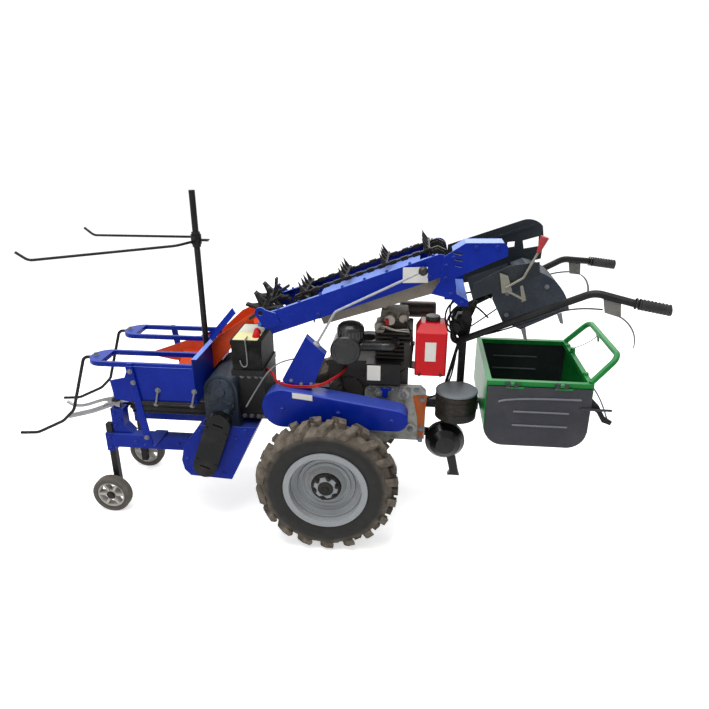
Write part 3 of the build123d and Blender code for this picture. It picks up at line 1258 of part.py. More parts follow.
with BuildPart() as tub:
    for inset, mode in ((0, Mode.ADD), (SHEET, Mode.SUBTRACT)):
        with BuildSketch(side_plane(tub_half)):
            with BuildLine():
                tub_outline(inset)
            make_face()
        extrude(amount=2 * tub_half, mode=mode)
    with BuildSketch(Plane.XY.offset(BASKET_TOP - RIM_TUBE)):
        with Locations(((BASKET_FRONT + BASKET_REAR) / 2, 0)):
            Rectangle(BASKET_REAR - BASKET_FRONT, 2 * tub_half)
            Rectangle(BASKET_REAR - BASKET_FRONT - 2 * RIM_TUBE, 2 * tub_half - 2 * RIM_TUBE, mode=Mode.SUBTRACT)
    extrude(amount=RIM_TUBE)
    hinge_y = -tub_half - HINGE_R - 4
    hinge_z = BASKET_TOP - HINGE_R - 2
    for knuckle_x in (BASKET_FRONT + 90, BASKET_REAR - 130):
        with BuildSketch(Plane.YZ.offset(knuckle_x)):
            with Locations((hinge_y, hinge_z)):
                Circle(HINGE_R + 3)
            with Locations((hinge_y + 5, hinge_z)):
                Rectangle(10, 10)
        extrude(amount=14)
        with BuildSketch(Plane.YZ.offset(knuckle_x)):
            with Locations((hinge_y, hinge_z)):
                Circle(HINGE_R - 1 + RUN_FIT)
        extrude(amount=14, mode=Mode.SUBTRACT)

RIB_HALF = 5
door_ribs = (
    # front end, rear end and height of each rib
    ((690, 1015), 696),
    ((742, 960), 637),
    ((742, 960), 576),
)
with BuildPart() as far_panel:
    with BuildSketch(side_plane(BASKET_HALF)):
        with BuildLine():
            tub_outline(0)
        make_face()
    extrude(amount=SHEET)
    for z in (676, 614):
        for face_y, depth, mode in ((BASKET_HALF + 2, 2, Mode.ADD), (tub_half + 1, 1, Mode.SUBTRACT)):
            with BuildSketch(side_plane(face_y)):
                with Locations(at_axle(712, z), at_axle(917, z)):
                    Circle(RIB_HALF)
                make_hull()
            extrude(amount=depth, mode=mode)
finish(far_panel.part, "basket_panel")

with BuildPart() as door:
    with BuildSketch(side_plane(-tub_half - DOOR_GAP)):
        with BuildLine():
            low, front, rear, corner = BASKET_LOW, BASKET_FRONT + 4, BASKET_REAR - 4, BASKET_CORNER - 4
            Polyline((front, low + corner), (front, hinge_z - 14), (rear, hinge_z - 14), (rear, low + corner))
            RadiusArc((rear, low + corner), (rear - corner, low), corner)
            Line((rear - corner, low), (front + corner, low))
            RadiusArc((front + corner, low), (front, low + corner), corner)
        make_face()
    extrude(amount=SHEET)
    for ends, z in door_ribs:
        with BuildSketch(side_plane(-tub_half - DOOR_GAP - SHEET)):
            with Locations(*[at_axle(x, z) for x in ends]):
                Circle(RIB_HALF)
            make_hull()
        extrude(amount=2)
    for knuckle_x in (BASKET_FRONT + 90, BASKET_REAR - 130):
        with BuildSketch(Plane.YZ.offset(knuckle_x - 16)):
            with Locations((hinge_y, hinge_z)):
                Circle(HINGE_R - 1)
        extrude(amount=46)
        for ear in (knuckle_x - 16, knuckle_x + 15):
            with BuildSketch(Plane.YZ.offset(ear)):
                with Locations((hinge_y, hinge_z)):
                    Circle(HINGE_R + 2)
                Polygon((hinge_y - HINGE_R - 2, hinge_z), (hinge_y + HINGE_R - 3, hinge_z),
                        (-tub_half - DOOR_GAP, hinge_z - 20), (-tub_half - DOOR_GAP - SHEET, hinge_z - 20),
                        align=None)
            extrude(amount=15)
    with BuildSketch(Plane.YZ.offset(AXLE_X + 1000)):
        with Locations((-tub_half - DOOR_GAP - SHEET - 4, 660)):
            Circle(5)
    extrude(amount=120)
finish(door.part, "basket_door")

with tub:
    with BuildLine():
        tube = FilletPolyline(
            (BASKET_REAR - 10, tub_half - 16, BASKET_TOP), (BASKET_REAR + 78, tub_half - 40, BASKET_TOP + 105),
            (BASKET_REAR + 88, 40 - tub_half, BASKET_TOP + 105), (BASKET_REAR - 10, 16 - tub_half, BASKET_TOP),
            radius=45,
        )
    with BuildSketch(Plane(origin=tube @ 0, z_dir=tube % 0)):
        Circle(HOOP_R)
    sweep(path=tube)
finish(tub.part, "basket_tub")
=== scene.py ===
import bpy
import bmesh
import math
from mathutils import Matrix, Vector


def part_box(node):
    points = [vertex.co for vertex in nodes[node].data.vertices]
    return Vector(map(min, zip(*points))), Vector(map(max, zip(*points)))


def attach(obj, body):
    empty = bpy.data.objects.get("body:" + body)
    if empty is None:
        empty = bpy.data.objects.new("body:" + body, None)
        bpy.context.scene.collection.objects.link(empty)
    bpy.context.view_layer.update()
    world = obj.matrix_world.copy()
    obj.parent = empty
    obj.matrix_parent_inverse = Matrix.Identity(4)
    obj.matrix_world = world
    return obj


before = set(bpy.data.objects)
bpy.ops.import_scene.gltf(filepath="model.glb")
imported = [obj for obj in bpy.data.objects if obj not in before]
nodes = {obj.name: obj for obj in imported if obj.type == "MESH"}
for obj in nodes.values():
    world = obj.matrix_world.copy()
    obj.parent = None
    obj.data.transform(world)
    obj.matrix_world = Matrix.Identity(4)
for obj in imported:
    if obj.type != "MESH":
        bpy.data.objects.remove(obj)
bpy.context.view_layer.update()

# Camera: fitted to the photo, from the machine's left, a little above it and towards its rear.
photo_camera = bpy.data.cameras.new("photo_camera")
photo_camera.lens = 31.26
photo_camera.sensor_width = 36
viewer = bpy.data.objects.new("photo_camera", photo_camera)
viewer.location = (0.4409, -2.5056, 1.7588)
viewer.rotation_euler = (math.radians(68.208), 0, math.radians(5.846))
bpy.context.collection.objects.link(viewer)
bpy.context.scene.camera = viewer
bpy.context.scene.view_settings.view_transform = "Standard"

# Drive tyres: agricultural tyres of black rubber, moulded with angled bars.
# The bars are brown with dried soil, which thins out over the shoulders to grey, bleached side walls.
rim_low, rim_high = (Vector(corner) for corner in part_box("drive_rim_left"))
axle = Vector(((rim_low.x + rim_high.x) / 2, 0, (rim_low.z + rim_high.z) / 2))


def from_axle(x, y, z):
    """A point given in millimetres behind the drive axle, right of the middle and above the ground."""
    return Vector((axle.x + x / 1000, y / 1000, z / 1000))


def to_linear(code):
    """An sRGB hex colour as linear red, green, blue and alpha."""
    parts = [int(code[i:i + 2], 16) / 255 for i in (1, 3, 5)]
    return [c / 12.92 if c <= 0.04045 else ((c + 0.055) / 1.055) ** 2.4 for c in parts] + [1.0]


def plug(tree, socket, value):
    """Set a socket to a value or a hex colour, or link it to an output or to a node's first output."""
    if isinstance(value, bpy.types.Node):
        value = value.outputs[0]
    if isinstance(value, bpy.types.NodeSocket):
        tree.links.new(value, socket)
    else:
        socket.default_value = to_linear(value) if isinstance(value, str) else value


def add(tree, kind, **settings):
    """Add one node: lower-case settings are its properties, the others its sockets, by name or by number."""
    made = tree.nodes.new(kind)
    for key, value in settings.items():
        if key[0].islower():
            setattr(made, key, value)
        else:
            numbered = key[0] == "I" and key[1:].isdigit()
            plug(tree, made.inputs[int(key[1:]) if numbered else key.replace("_", " ")], value)
    return made


def new_material(name):
    """A material with its node tree and the object's own coordinates."""
    material = bpy.data.materials.new(name)
    material.use_nodes = True
    tree = material.node_tree
    return material, tree, tree.nodes.new("ShaderNodeTexCoord").outputs["Object"]


def finish(material, **layers):
    """Plug each layer into the socket of that name on the material's shader."""
    tree = material.node_tree
    for name, layer in layers.items():
        plug(tree, tree.nodes["Principled BSDF"].inputs[name.replace("_", " ")], layer)
    return material


def dress(material, *names):
    """Give CAD nodes a material in place of the one they were packed with."""
    for name in names:
        for slot in nodes[name].material_slots:
            slot.material = material


def soiled_rubber(name, centre, soil_start, soil_end, soil, rubber):
    """Rubber whose tread, from one radius to another about a wheel's axis, is covered with dried soil."""
    material, tree, place = new_material(name)
    from_axis = add(tree, "ShaderNodeMapping", Vector=place, Location=(-centre.x, 0, -centre.z),
                    Scale=(1, 0, 1))
    radius = add(tree, "ShaderNodeVectorMath", operation="LENGTH", I0=from_axis)
    patches = add(tree, "ShaderNodeTexNoise", Vector=place, Scale=26, Detail=8, Roughness=0.65)
    # Soil crumbs are 1 to 3 mm across.
    grit = add(tree, "ShaderNodeTexNoise", Vector=place, Scale=380, Detail=4, Roughness=0.7)
    reach = add(tree, "ShaderNodeMapRange", Value=radius.outputs["Value"], From_Min=soil_start,
                From_Max=soil_end)
    amount = add(tree, "ShaderNodeMath", operation="MULTIPLY_ADD", I0=patches, I1=2.2, I2=-0.45)
    cover = add(tree, "ShaderNodeMath", operation="MULTIPLY", use_clamp=True, I0=amount, I1=reach)
    soil_tone = add(tree, "ShaderNodeMixRGB", Fac=grit, Color1=soil[0], Color2=soil[1])
    rubber_tone = add(tree, "ShaderNodeMixRGB", Fac=patches, Color1=rubber[0], Color2=rubber[1])
    colour = add(tree, "ShaderNodeMixRGB", Fac=cover, Color1=rubber_tone, Color2=soil_tone)
    rough = add(tree, "ShaderNodeMapRange", Value=cover, To_Min=0.6, To_Max=0.95)
    edge = add(tree, "ShaderNodeBevel", samples=4, Radius=0.004)
    bump = add(tree, "ShaderNodeBump", Strength=0.5, Distance=0.002, Height=grit, Normal=edge)
    return finish(material, Base_Color=colour, Roughness=rough, Normal=bump, Specular_IOR_Level=0.15)


tyre_rubber = soiled_rubber("soiled_tyre_rubber", axle, soil_start=0.232, soil_end=0.262,
                            soil=("#5a5147", "#867c6f"), rubber=("#1b1b1b", "#302f2e"))
dress(tyre_rubber, "drive_tyre_left", "drive_tyre_right")


# Drive rims: rolled steel with dull silver enamel, dusty in the dish, with three pressed beads.
# Each is bolted by six nuts to a black cast hub on the half shaft.
def enamel(name, tone, deep, roughness, dust_and_highlight="#9a9286", dusty=0.25, gloss=0.15, worn=None, top_highlight=0.0):
    """Sprayed enamel on sheet steel: clouded by dust, with a painted highlight in a paler colour on faces
    that look up, and a worn edge's colour.
    """
    material, tree, place = new_material(name)
    clouds = add(tree, "ShaderNodeTexNoise", Vector=place, Scale=9, Detail=5, Roughness=0.6)
    specks = add(tree, "ShaderNodeTexNoise", Vector=place, Scale=160, Detail=4, Roughness=0.7)
    # The spray's orange peel is about 1 mm across, drawn at 2 mm so that it shows.
    peel = add(tree, "ShaderNodeTexNoise", Vector=place, Scale=500, Detail=1)
    paint = add(tree, "ShaderNodeMixRGB", Fac=clouds, Color1=deep, Color2=tone)
    film = add(tree, "ShaderNodeMath", operation="MULTIPLY", I0=clouds, I1=specks)
    dusting = add(tree, "ShaderNodeMapRange", Value=film, From_Min=0.22, From_Max=0.42, To_Max=dusty)
    facing = add(tree, "ShaderNodeNewGeometry").outputs["True Normal"]
    upright = add(tree, "ShaderNodeSeparateXYZ", Vector=facing)
    # Faces that look up are mixed towards the pale colour: a painted highlight standing for top light, not
    # dust.
    painted_top_highlight = add(tree, "ShaderNodeMapRange", Value=upright.outputs["Z"], From_Min=0.45, From_Max=0.6,
                 To_Max=top_highlight)
    dust_and_top_highlight = add(tree, "ShaderNodeMath", operation="MAXIMUM", I0=dusting, I1=painted_top_highlight)
    colour = add(tree, "ShaderNodeMixRGB", Fac=dust_and_top_highlight, Color1=paint, Color2=dust_and_highlight)
    edge = add(tree, "ShaderNodeBevel", samples=4, Radius=0.0012)
    if worn:
        agree = add(tree, "ShaderNodeVectorMath", operation="DOT_PRODUCT", I0=edge, I1=facing)
        rubbed = add(tree, "ShaderNodeMapRange", Value=agree.outputs["Value"], From_Min=0.99, From_Max=0.86,
                     To_Max=0.55)
        rubbed_here = add(tree, "ShaderNodeMath", operation="MULTIPLY", I0=rubbed, I1=clouds)
        colour = add(tree, "ShaderNodeMixRGB", Fac=rubbed_here, Color1=colour, Color2=worn)
    rough = add(tree, "ShaderNodeMapRange", Value=dusting, To_Min=roughness, To_Max=roughness + 0.35)
    bump = add(tree, "ShaderNodeBump", Strength=0.08, Distance=0.0006, Height=peel, Normal=edge)
    return finish(material, Base_Color=colour, Roughness=rough, Normal=bump, Specular_IOR_Level=gloss)


def keep(mesh, name, material, body="chassis"):
    """Turn a finished bmesh into a piece that rides on a body and takes its finish from a slot."""
    bmesh.ops.remove_doubles(mesh, verts=mesh.verts, dist=1e-6)
    bmesh.ops.recalc_face_normals(mesh, faces=mesh.faces)
    data = bpy.data.meshes.new(name)
    mesh.to_mesh(data)
    mesh.free()
    data.materials.append(material)
    piece = bpy.data.objects.new(name, data)
    bpy.context.collection.objects.link(piece)
    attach(piece, body)


def add_round(mesh, place, facing, radius, depth, sides=24, taper=1.0):
    """A round or many-sided boss that stands on a place and faces a direction."""
    turn = Vector(facing).to_track_quat("Z", "Y").to_matrix().to_4x4()
    seat = Matrix.Translation(place) @ turn @ Matrix.Translation((0, 0, depth / 2))
    bmesh.ops.create_cone(mesh, cap_ends=True, segments=sides, radius1=radius, radius2=radius * taper,
                          depth=depth, matrix=seat)


def add_bolt(mesh, place, facing, across):
    """A hexagon head on its washer, its width across flats given."""
    add_round(mesh, place, facing, across * 0.85, across * 0.18, 16)
    add_round(mesh, place + Vector(facing).normalized() * across * 0.16, facing, across * 0.577,
              across * 0.55, 6, 0.94)


def add_ring(mesh, section, centre, axis=(0, 1, 0), steps=64):
    """A closed section spun once round an axis."""
    corners = [mesh.verts.new(point) for point in section]
    edges = [mesh.edges.new((corners[i - 1], corners[i])) for i in range(len(corners))]
    bmesh.ops.spin(mesh, geom=corners + edges, cent=centre, axis=axis, angle=2 * math.pi, steps=steps,
                   use_merge=True)


silver_enamel = enamel("silver_wheel_enamel", "#a3a7aa", "#7f8386", 0.42, dust_and_highlight="#6d655a", dusty=0.45)
hub_iron = enamel("black_hub_iron", "#1a1b1c", "#0f1011", 0.5, dust_and_highlight="#5c554c", dusty=0.25)
dress(silver_enamel, "drive_rim_left", "drive_rim_right")
WHEEL_Y, AXLE_Z = 334, 300
NUT_CIRCLE = 47
BEADS = ((0.118, 3), (0.098, 3), (0.147, 23))
HUB_PROFILE = ((0.5, 46), (27, 46), (32, 43), (34, 36), (58, 34), (62, 30), (64, 21), (0.5, 21))
for side, name in ((-1, "left"), (1, "right")):
    beads = bmesh.new()
    for radius, out in BEADS:
        middle = from_axle(0, side * (WHEEL_Y + out), AXLE_Z + radius * 1000)
        bead = [middle + Vector((0, side * 0.0045 * math.sin(a), 0.0045 * math.cos(a)))
                for a in (0, 0.8, 1.57, 2.34, 3.14, 4.7)]
        add_ring(beads, bead, axle)
    keep(beads, f"rim_beads_{name}", silver_enamel, f"drive_wheel_{name}")
    hub = bmesh.new()
    face = [from_axle(0, side * (WHEEL_Y + out), AXLE_Z + radius) for radius, out in HUB_PROFILE]
    add_ring(hub, face, axle)
    add_round(hub, from_axle(0, side * (WHEEL_Y + 46), AXLE_Z), (0, side, 0), 0.014, 0.006, 20, 0.8)
    keep(hub, f"hub_cap_{name}", hub_iron, f"drive_wheel_{name}")
    nuts = bmesh.new()
    for turn in range(6):
        angle = math.radians(60 * turn + 15)
        seat = from_axle(NUT_CIRCLE * math.cos(angle), side * (WHEEL_Y + 34),
                         AXLE_Z + NUT_CIRCLE * math.sin(angle))
        add_bolt(nuts, seat, (0, side, 0), 0.015)
    keep(nuts, f"wheel_nuts_{name}", hub_iron, f"drive_wheel_{name}")

# Gauge wheels: solid rubber tyres on light grey cast wheels with spokes, rubbed clean by the ground.
# Each turns on a black bearing that stands out of its hub.
gauge_low, gauge_high = (Vector(corner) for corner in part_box("gauge_rim_left"))
gauge_centre = (gauge_low + gauge_high) / 2
gauge_rubber = soiled_rubber("worn_gauge_rubber", gauge_centre, soil_start=0.070, soil_end=0.098,
                             soil=("#57524a", "#7f796e"), rubber=("#3b3936", "#56534e"))
dress(gauge_rubber, "gauge_tyre_left", "gauge_tyre_right")
gauge_enamel = enamel("gauge_wheel_enamel", "#c9c6bf", "#9d9a93", 0.5, dust_and_highlight="#615a51", dusty=0.5)
dress(gauge_enamel, "gauge_rim_left", "gauge_rim_right")
GAUGE_Y = 0.197
BEARING_PROFILE = ((0.0105, 0.0202), (0.019, 0.0212), (0.021, 0.0202), (0.021, 0.018), (0.0105, 0.018))
for side, name in ((-1, "left"), (1, "right")):
    bearing = bmesh.new()
    section = [Vector((gauge_centre.x, side * (GAUGE_Y + out), gauge_centre.z + radius))
               for radius, out in BEARING_PROFILE]
    add_ring(bearing, section, (gauge_centre.x, 0, gauge_centre.z), steps=32)
    keep(bearing, f"gauge_bearing_{name}", hub_iron, f"gauge_wheel_{name}")

# Gauge legs and divider rods: square and round bar in black satin enamel.
# The legs stand in the beams' sockets, and the rods are bent from one length and bolted under the nose.
black_enamel = enamel("black_satin_enamel", "#19191b", "#0d0e0f", 0.4, dust_and_highlight="#6d675f", dusty=0.1, gloss=0.14,
                      worn="#4a4b4f")
dress(black_enamel, "gauge_leg_left", "gauge_leg_right", "divider_rod_left", "divider_rod_right")


# Head frame: two box beams of welded tube with blue enamel, chipped to a paler edge, that carry the rolls.
# Two clamp bolts close each leg socket, three hold each roll bearing's upright, and two more each beam.
def bolt_face(mesh, y, places, across):
    """Bolts on an upright face that looks outwards from y, at places along x and z."""
    for x, z in places:
        add_bolt(mesh, from_axle(x, y, z), (0, math.copysign(1, y), 0), across)


# Blue enamel: its pale colour on upward faces is a faint painted highlight.
blue_enamel = enamel("blue_enamel", "#052390", "#031a74", 0.3, dust_and_highlight="#8fa4e4", dusty=0.02, gloss=0.1,
                     worn="#6f8fe0", top_highlight=0.12)
zinc_steel = enamel("zinc_bolt_steel", "#7d7f82", "#4c4e51", 0.38, dust_and_highlight="#4f453a", dusty=0.45, gloss=0.4)
dress(blue_enamel, "head_frame_left", "head_frame_right")
frame_bolts = bmesh.new()
for side in (-1, 1):
    bolt_face(frame_bolts, side * 164, ((-1024, 312), (-1024, 366)), 0.013)
    bolt_face(frame_bolts, side * 150, ((-992, 420), (-992, 480), (-966, 450)), 0.011)
    bolt_face(frame_bolts, side * 165, ((-900, 350), (-700, 350)), 0.011)
keep(frame_bolts, "frame_bolts", blue_enamel)


# Gathering star and snapping rolls: flame-cut plate and fluted bar, left bare and polished by the stalks.
# The star sits on a post under a round washer and a nut, and the rolls run in greased bearings.
def casting(name, tone, deep, metallic, roughness, grease="#17140f", greasy=0.5, grain=600):
    """Bare or cast metal: grainy, with stains of oil, dust and rust."""
    material, tree, place = new_material(name)
    stains = add(tree, "ShaderNodeTexNoise", Vector=place, Scale=18, Detail=8, Roughness=0.7)
    # Moulding sand leaves grains of about 1 mm, drawn a little coarser.
    sand = add(tree, "ShaderNodeTexNoise", Vector=place, Scale=grain, Detail=2)
    skin = add(tree, "ShaderNodeMixRGB", Fac=sand, Color1=deep, Color2=tone)
    dirt = add(tree, "ShaderNodeMapRange", Value=stains, From_Min=0.48, From_Max=0.7, To_Max=greasy)
    colour = add(tree, "ShaderNodeMixRGB", Fac=dirt, Color1=skin, Color2=grease)
    rough = add(tree, "ShaderNodeMapRange", Value=dirt, To_Min=roughness, To_Max=roughness - 0.12)
    edge = add(tree, "ShaderNodeBevel", samples=4, Radius=0.003)
    bump = add(tree, "ShaderNodeBump", Strength=0.3, Distance=0.0012, Height=sand, Normal=edge)
    return finish(material, Base_Color=colour, Metallic=metallic, Roughness=rough, Normal=bump,
                  Specular_IOR_Level=0.25)


worn_steel = casting("worn_steel", "#98999a", "#76777a", 0.7, 0.42, grease="#4a3323", greasy=0.45)
dark_steel = casting("dark_chain_steel", "#2a2a2b", "#19191a", 0.5, 0.48, grease="#3b2a1e", greasy=0.35)
dress(worn_steel, "star_wheel")
dress(dark_steel, "snapping_roll_left", "snapping_roll_right")
STAR_X, STAR_Y, STAR_TOP = -985, -125, 540
WASHER = 6
star_nut = bmesh.new()
add_round(star_nut, from_axle(STAR_X, STAR_Y, STAR_TOP), (0, 0, 1), 0.021, WASHER / 1000, 24, 0.9)
add_round(star_nut, from_axle(STAR_X, STAR_Y, STAR_TOP + WASHER), (0, 0, 1), 0.011, 0.006, 6)
keep(star_nut, "star_nut", dark_steel)


# Stalk guides: two bars of bare steel, bent by hand and welded to the bearing blocks in front of the rolls.
# They lead the standing stalks in between the rolls.
def bent_bar(name, route, radius, material, body="chassis"):
    """A round bar, pipe or held cable on a smooth line led by points in millimetres from the axle."""
    line = bpy.data.curves.new(name, "CURVE")
    line.dimensions = "3D"
    line.bevel_depth = radius
    line.bevel_resolution = 3
    line.resolution_u = 8
    line.use_fill_caps = True
    spline = line.splines.new("NURBS")
    spline.points.add(len(route) - 1)
    for control, point in zip(spline.points, route):
        control.co = (*from_axle(*point), 1)
    spline.order_u = 3
    spline.use_endpoint_u = True
    line.materials.append(material)
    piece = bpy.data.objects.new(name, line)
    bpy.context.collection.objects.link(piece)
    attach(piece, body)


bent_bar("stalk_guide_left", (
    (-1265, -60, 408), (-1200, -60, 426), (-1136, -60, 444), (-1056, -58, 478), (-1006, -52, 490)),
    0.0115, worn_steel)
bent_bar("stalk_guide_right", (
    (-1345, 66, 420), (-1318, 64, 398), (-1250, 62, 404), (-1172, 60, 436), (-1090, 56, 458),
    (-1006, 52, 480)), 0.0080, worn_steel)

# Divider rails: flat bar bent round the nose and leaning posts, welded and painted blue.
# Bolts hold the rods to the nose, the posts to the trough and the rails to the gate.
dress(blue_enamel, "divider_rails_left", "divider_rails_right")
rail_bolts = bmesh.new()
for side in (-1, 1):
    add_bolt(rail_bolts, from_axle(-1020, side * 169, 772), (0, 0, 1), 0.016)
    bolt_face(rail_bolts, side * 257, ((-834, 740), (-826, 690), (-800, 430)), 0.013)
keep(rail_bolts, "rail_bolts", zinc_steel)

# Trough: a blue sheet-steel shell, and an orange lining that the ears slide on, rubbed paler at its edges.
# Along its lower edge runs the black adjusting tube with two zinc-plated eye bolts.
# The same blue, but its pale colour on upward faces, the lips and flanges, is a strong painted highlight.
blue_enamel_painted_highlight = enamel("blue_enamel_painted_highlight", "#052390", "#031a74", 0.3, dust_and_highlight="#86a2ea", dusty=0.02, gloss=0.1,
                         worn="#6f8fe0", top_highlight=0.6)
dress(blue_enamel_painted_highlight, "trough_shell")
orange_enamel = enamel("orange_enamel", "#d9461a", "#b5360f", 0.36, dust_and_highlight="#a8805f", dusty=0.2, gloss=0.2,
                       worn="#e8875c")
dress(orange_enamel, "trough_lining")
EYE_BOLT_XS = (-733, -575)
TUBE_Y, TUBE_Z = -249, 596
bent_bar("adjusting_tube", [(x, TUBE_Y, TUBE_Z) for x in (-842, -700, -572)], 0.008, black_enamel)
eye_nuts = bmesh.new()
for eye, x in enumerate(EYE_BOLT_XS):
    bent_bar(f"eye_bolt_{eye + 1}", (
        (x - 8, -252, 586), (x, -257, 620), (x + 8, -252, 652), (x + 10, -247, 664)),
        0.0042, zinc_steel)
    add_bolt(eye_nuts, from_axle(x + 6, -245, 654), (0, -1, 0), 0.014)
    add_bolt(eye_nuts, from_axle(x - 8, TUBE_Y, TUBE_Z - 4), (0, -1, 0), 0.014)
keep(eye_nuts, "eye_nuts", zinc_steel)

# Gearbox: a round-topped iron casting in blue grey paint, with a bolted side cover and two slanting ribs.
# Oil and dust darken its joints.
gearbox_iron = casting("blue_grey_casting", "#37414d", "#272f39", 0.0, 0.5)
dress(gearbox_iron, "head_gearbox")


def add_plate(mesh, corners, thickness, bevel=0.0):
    """A flat plate on the given corners, thick towards the side from which they run anticlockwise."""
    face = mesh.faces.new([mesh.verts.new(corner) for corner in corners])
    face.normal_update()
    outward = face.normal.copy()
    grown = bmesh.ops.extrude_face_region(mesh, geom=[face])["geom"]
    top = [item for item in grown if isinstance(item, bmesh.types.BMVert)]
    bmesh.ops.translate(mesh, verts=top, vec=outward * thickness)
    if bevel:
        rim = [item for item in grown if isinstance(item, bmesh.types.BMEdge)]
        bmesh.ops.bevel(mesh, geom=rim, offset=bevel, affect="EDGES", segments=2, profile=0.5, material=-1)


def side_plate(mesh, y, outline, thickness, bevel=0.0):
    """A flat plate that stands along the machine at y, its outline given along x and z."""
    add_plate(mesh, [from_axle(x, y, z) for x, z in outline], thickness, bevel)


BOX_MID, BOX_ROUND = -490, 615
BOX_SIDE, COVER_SIDE, COVER_RADIUS = 150, 158, 60
COVER_BOLTS = ((-60, -8), (-46, 40), (0, 61), (46, 40), (60, -8), (-52, -62), (52, -62))
arch = [(COVER_RADIUS * math.cos(a), COVER_RADIUS * math.sin(a))
        for a in (math.pi * step / 16 for step in range(17))]
outline = [(BOX_MID + x, BOX_ROUND + z) for x, z in arch + [(-60, -70), (-40, -92), (40, -92), (60, -70)]]
for side, name in ((-1, "left"), (1, "right")):
    cover = bmesh.new()
    side_plate(cover, side * BOX_SIDE, outline if side < 0 else outline[::-1], 0.009, 0.003)
    bolt_face(cover, side * COVER_SIDE, [(BOX_MID + x * 0.86, BOX_ROUND + z * 0.86) for x, z in COVER_BOLTS],
              0.012)
    for x, lean in ((-34, 1), (34, -1)):
        rib = [(BOX_MID + x + dx * lean, BOX_ROUND + dz) for dx, dz in (
            (-26, -76), (-26, -64), (22, -34), (22, -46))]
        side_plate(cover, side * COVER_SIDE, rib if side * lean > 0 else rib[::-1], 0.006, 0.0015)
    add_round(cover, from_axle(BOX_MID, side * COVER_SIDE, BOX_ROUND), (0, side, 0), 0.024, 0.007, 32, 0.92)
    keep(cover, f"gearbox_cover_{name}", gearbox_iron)

# Gear housing: a dark, oily iron casting between the gearbox and the frame, its bolts left bare.
# Oil dulls the iron in patches, and only the bolts' zinc is bright.
oily_iron = casting("oily_dark_casting", "#302f2d", "#1e1d1c", 0.2, 0.55)
dress(oily_iron, "gear_housing")
housing_bolts = bmesh.new()
housing_places = [(x, z) for x in (-400, -368, -336, -312) for z in (482, 676)]
for side in (-1, 1):
    bolt_face(housing_bolts, side * 110, housing_places, 0.013)
keep(housing_bolts, "housing_bolts", zinc_steel)


# Battery: a moulded black plastic case with a pale film on top, held down by a bent zinc-plated rod.
# Its terminals wear two red rubber caps and a blue one, and it stands in a black sheet tray.
def moulded(name, tone, deep, roughness, grain=0.1, dusty=0.1, gloss=0.16):
    """Moulded plastic or rubber: even, with a fine grain and a little dust."""
    material, tree, place = new_material(name)
    clouds = add(tree, "ShaderNodeTexNoise", Vector=place, Scale=14, Detail=6)
    # Mould grain is about 0.5 mm, drawn at 2 mm.
    skin = add(tree, "ShaderNodeTexNoise", Vector=place, Scale=480, Detail=2)
    body = add(tree, "ShaderNodeMixRGB", Fac=clouds, Color1=deep, Color2=tone)
    dusting = add(tree, "ShaderNodeMapRange", Value=clouds, From_Min=0.5, From_Max=0.7, To_Max=dusty)
    colour = add(tree, "ShaderNodeMixRGB", Fac=dusting, Color1=body, Color2="#8c857a")
    edge = add(tree, "ShaderNodeBevel", samples=4, Radius=0.003)
    bump = add(tree, "ShaderNodeBump", Strength=grain, Distance=0.0008, Height=skin, Normal=edge)
    return finish(material, Base_Color=colour, Roughness=roughness, Normal=bump, Specular_IOR_Level=gloss)


dress(moulded("battery_case_plastic", "#161817", "#0d0e0e", 0.5, dusty=0.06, gloss=0.06), "battery")
dress(black_enamel, "battery_tray")
BATTERY_TOP = 885
for name, tone, (y_near, y_far) in (("battery_top_yellow", "#d9d48a", (-222, -128)),
                                    ("battery_top_white", "#cfd0cb", (-126, -24))):
    patch = bmesh.new()
    add_plate(patch, [from_axle(x, y, BATTERY_TOP) for x, y in (
        (-396, y_near), (-292, y_near), (-292, y_far), (-396, y_far))], 0.0012)
    keep(patch, name, moulded(f"{name}_film", tone, "#b3b09a", 0.4, grain=0.03, dusty=0.2))
for name, tone, places in (("battery_cap_red", "#b3121c", ((-306, -180), (-312, -140))),
                           ("battery_cap_blue", "#1c6fc0", ((-318, -40),))):
    caps = bmesh.new()
    for x, y in places:
        add_round(caps, from_axle(x, y, BATTERY_TOP), (0, 0, 1), 0.017, 0.016, 20, 0.8)
        add_round(caps, from_axle(x, y, BATTERY_TOP + 15), (0, 0, 1), 0.011, 0.009, 20, 0.7)
    keep(caps, name, moulded(f"{name}_rubber", tone, tone, 0.5))
bent_bar("battery_hold_down", (
    (-338, -200, 892), (-338, -232, 893), (-338, -239, 888), (-336, -239, 860), (-334, -238, 800),
    (-336, -238, 778), (-352, -238, 772), (-362, -238, 788), (-364, -238, 802)),
    0.0028, zinc_steel)

# Straw chopper: a blue sheet housing over a rotor of swinging knives, with a deep-drawn black belt cover.
# Four screws hold the cover, which has a pressed ridge at either end.
dress(blue_enamel, "chopper_housing")
dress(dark_steel, "chopper_rotor")
cover_black = moulded("belt_cover_enamel", "#0f1011", "#080909", 0.25, grain=0.03, dusty=0.05, gloss=0.14)
dress(cover_black, "chopper_belt_cover")
cover_trim = bmesh.new()
COVER_TOP, COVER_FOOT = Vector((-465, 520)), Vector((-540, 318))
along_cover = (COVER_TOP - COVER_FOOT).normalized()
across_cover = Vector((-along_cover.y, along_cover.x))
for middle in (COVER_TOP, COVER_FOOT):
    side_plate(cover_trim, -290, [middle + across_cover * 22 * a + along_cover * 3 * b for a, b in (
        (1, -1), (1, 1), (-1, 1), (-1, -1))], 0.003, 0.001)
for share in (0.12, 0.88):
    for reach in (-42, 42):
        place = COVER_FOOT.lerp(COVER_TOP, share) + across_cover * reach
        add_round(cover_trim, from_axle(place.x, -289, place.y), (0, -1, 0), 0.006, 0.004, 12, 0.8)
keep(cover_trim, "cover_trim", cover_black)
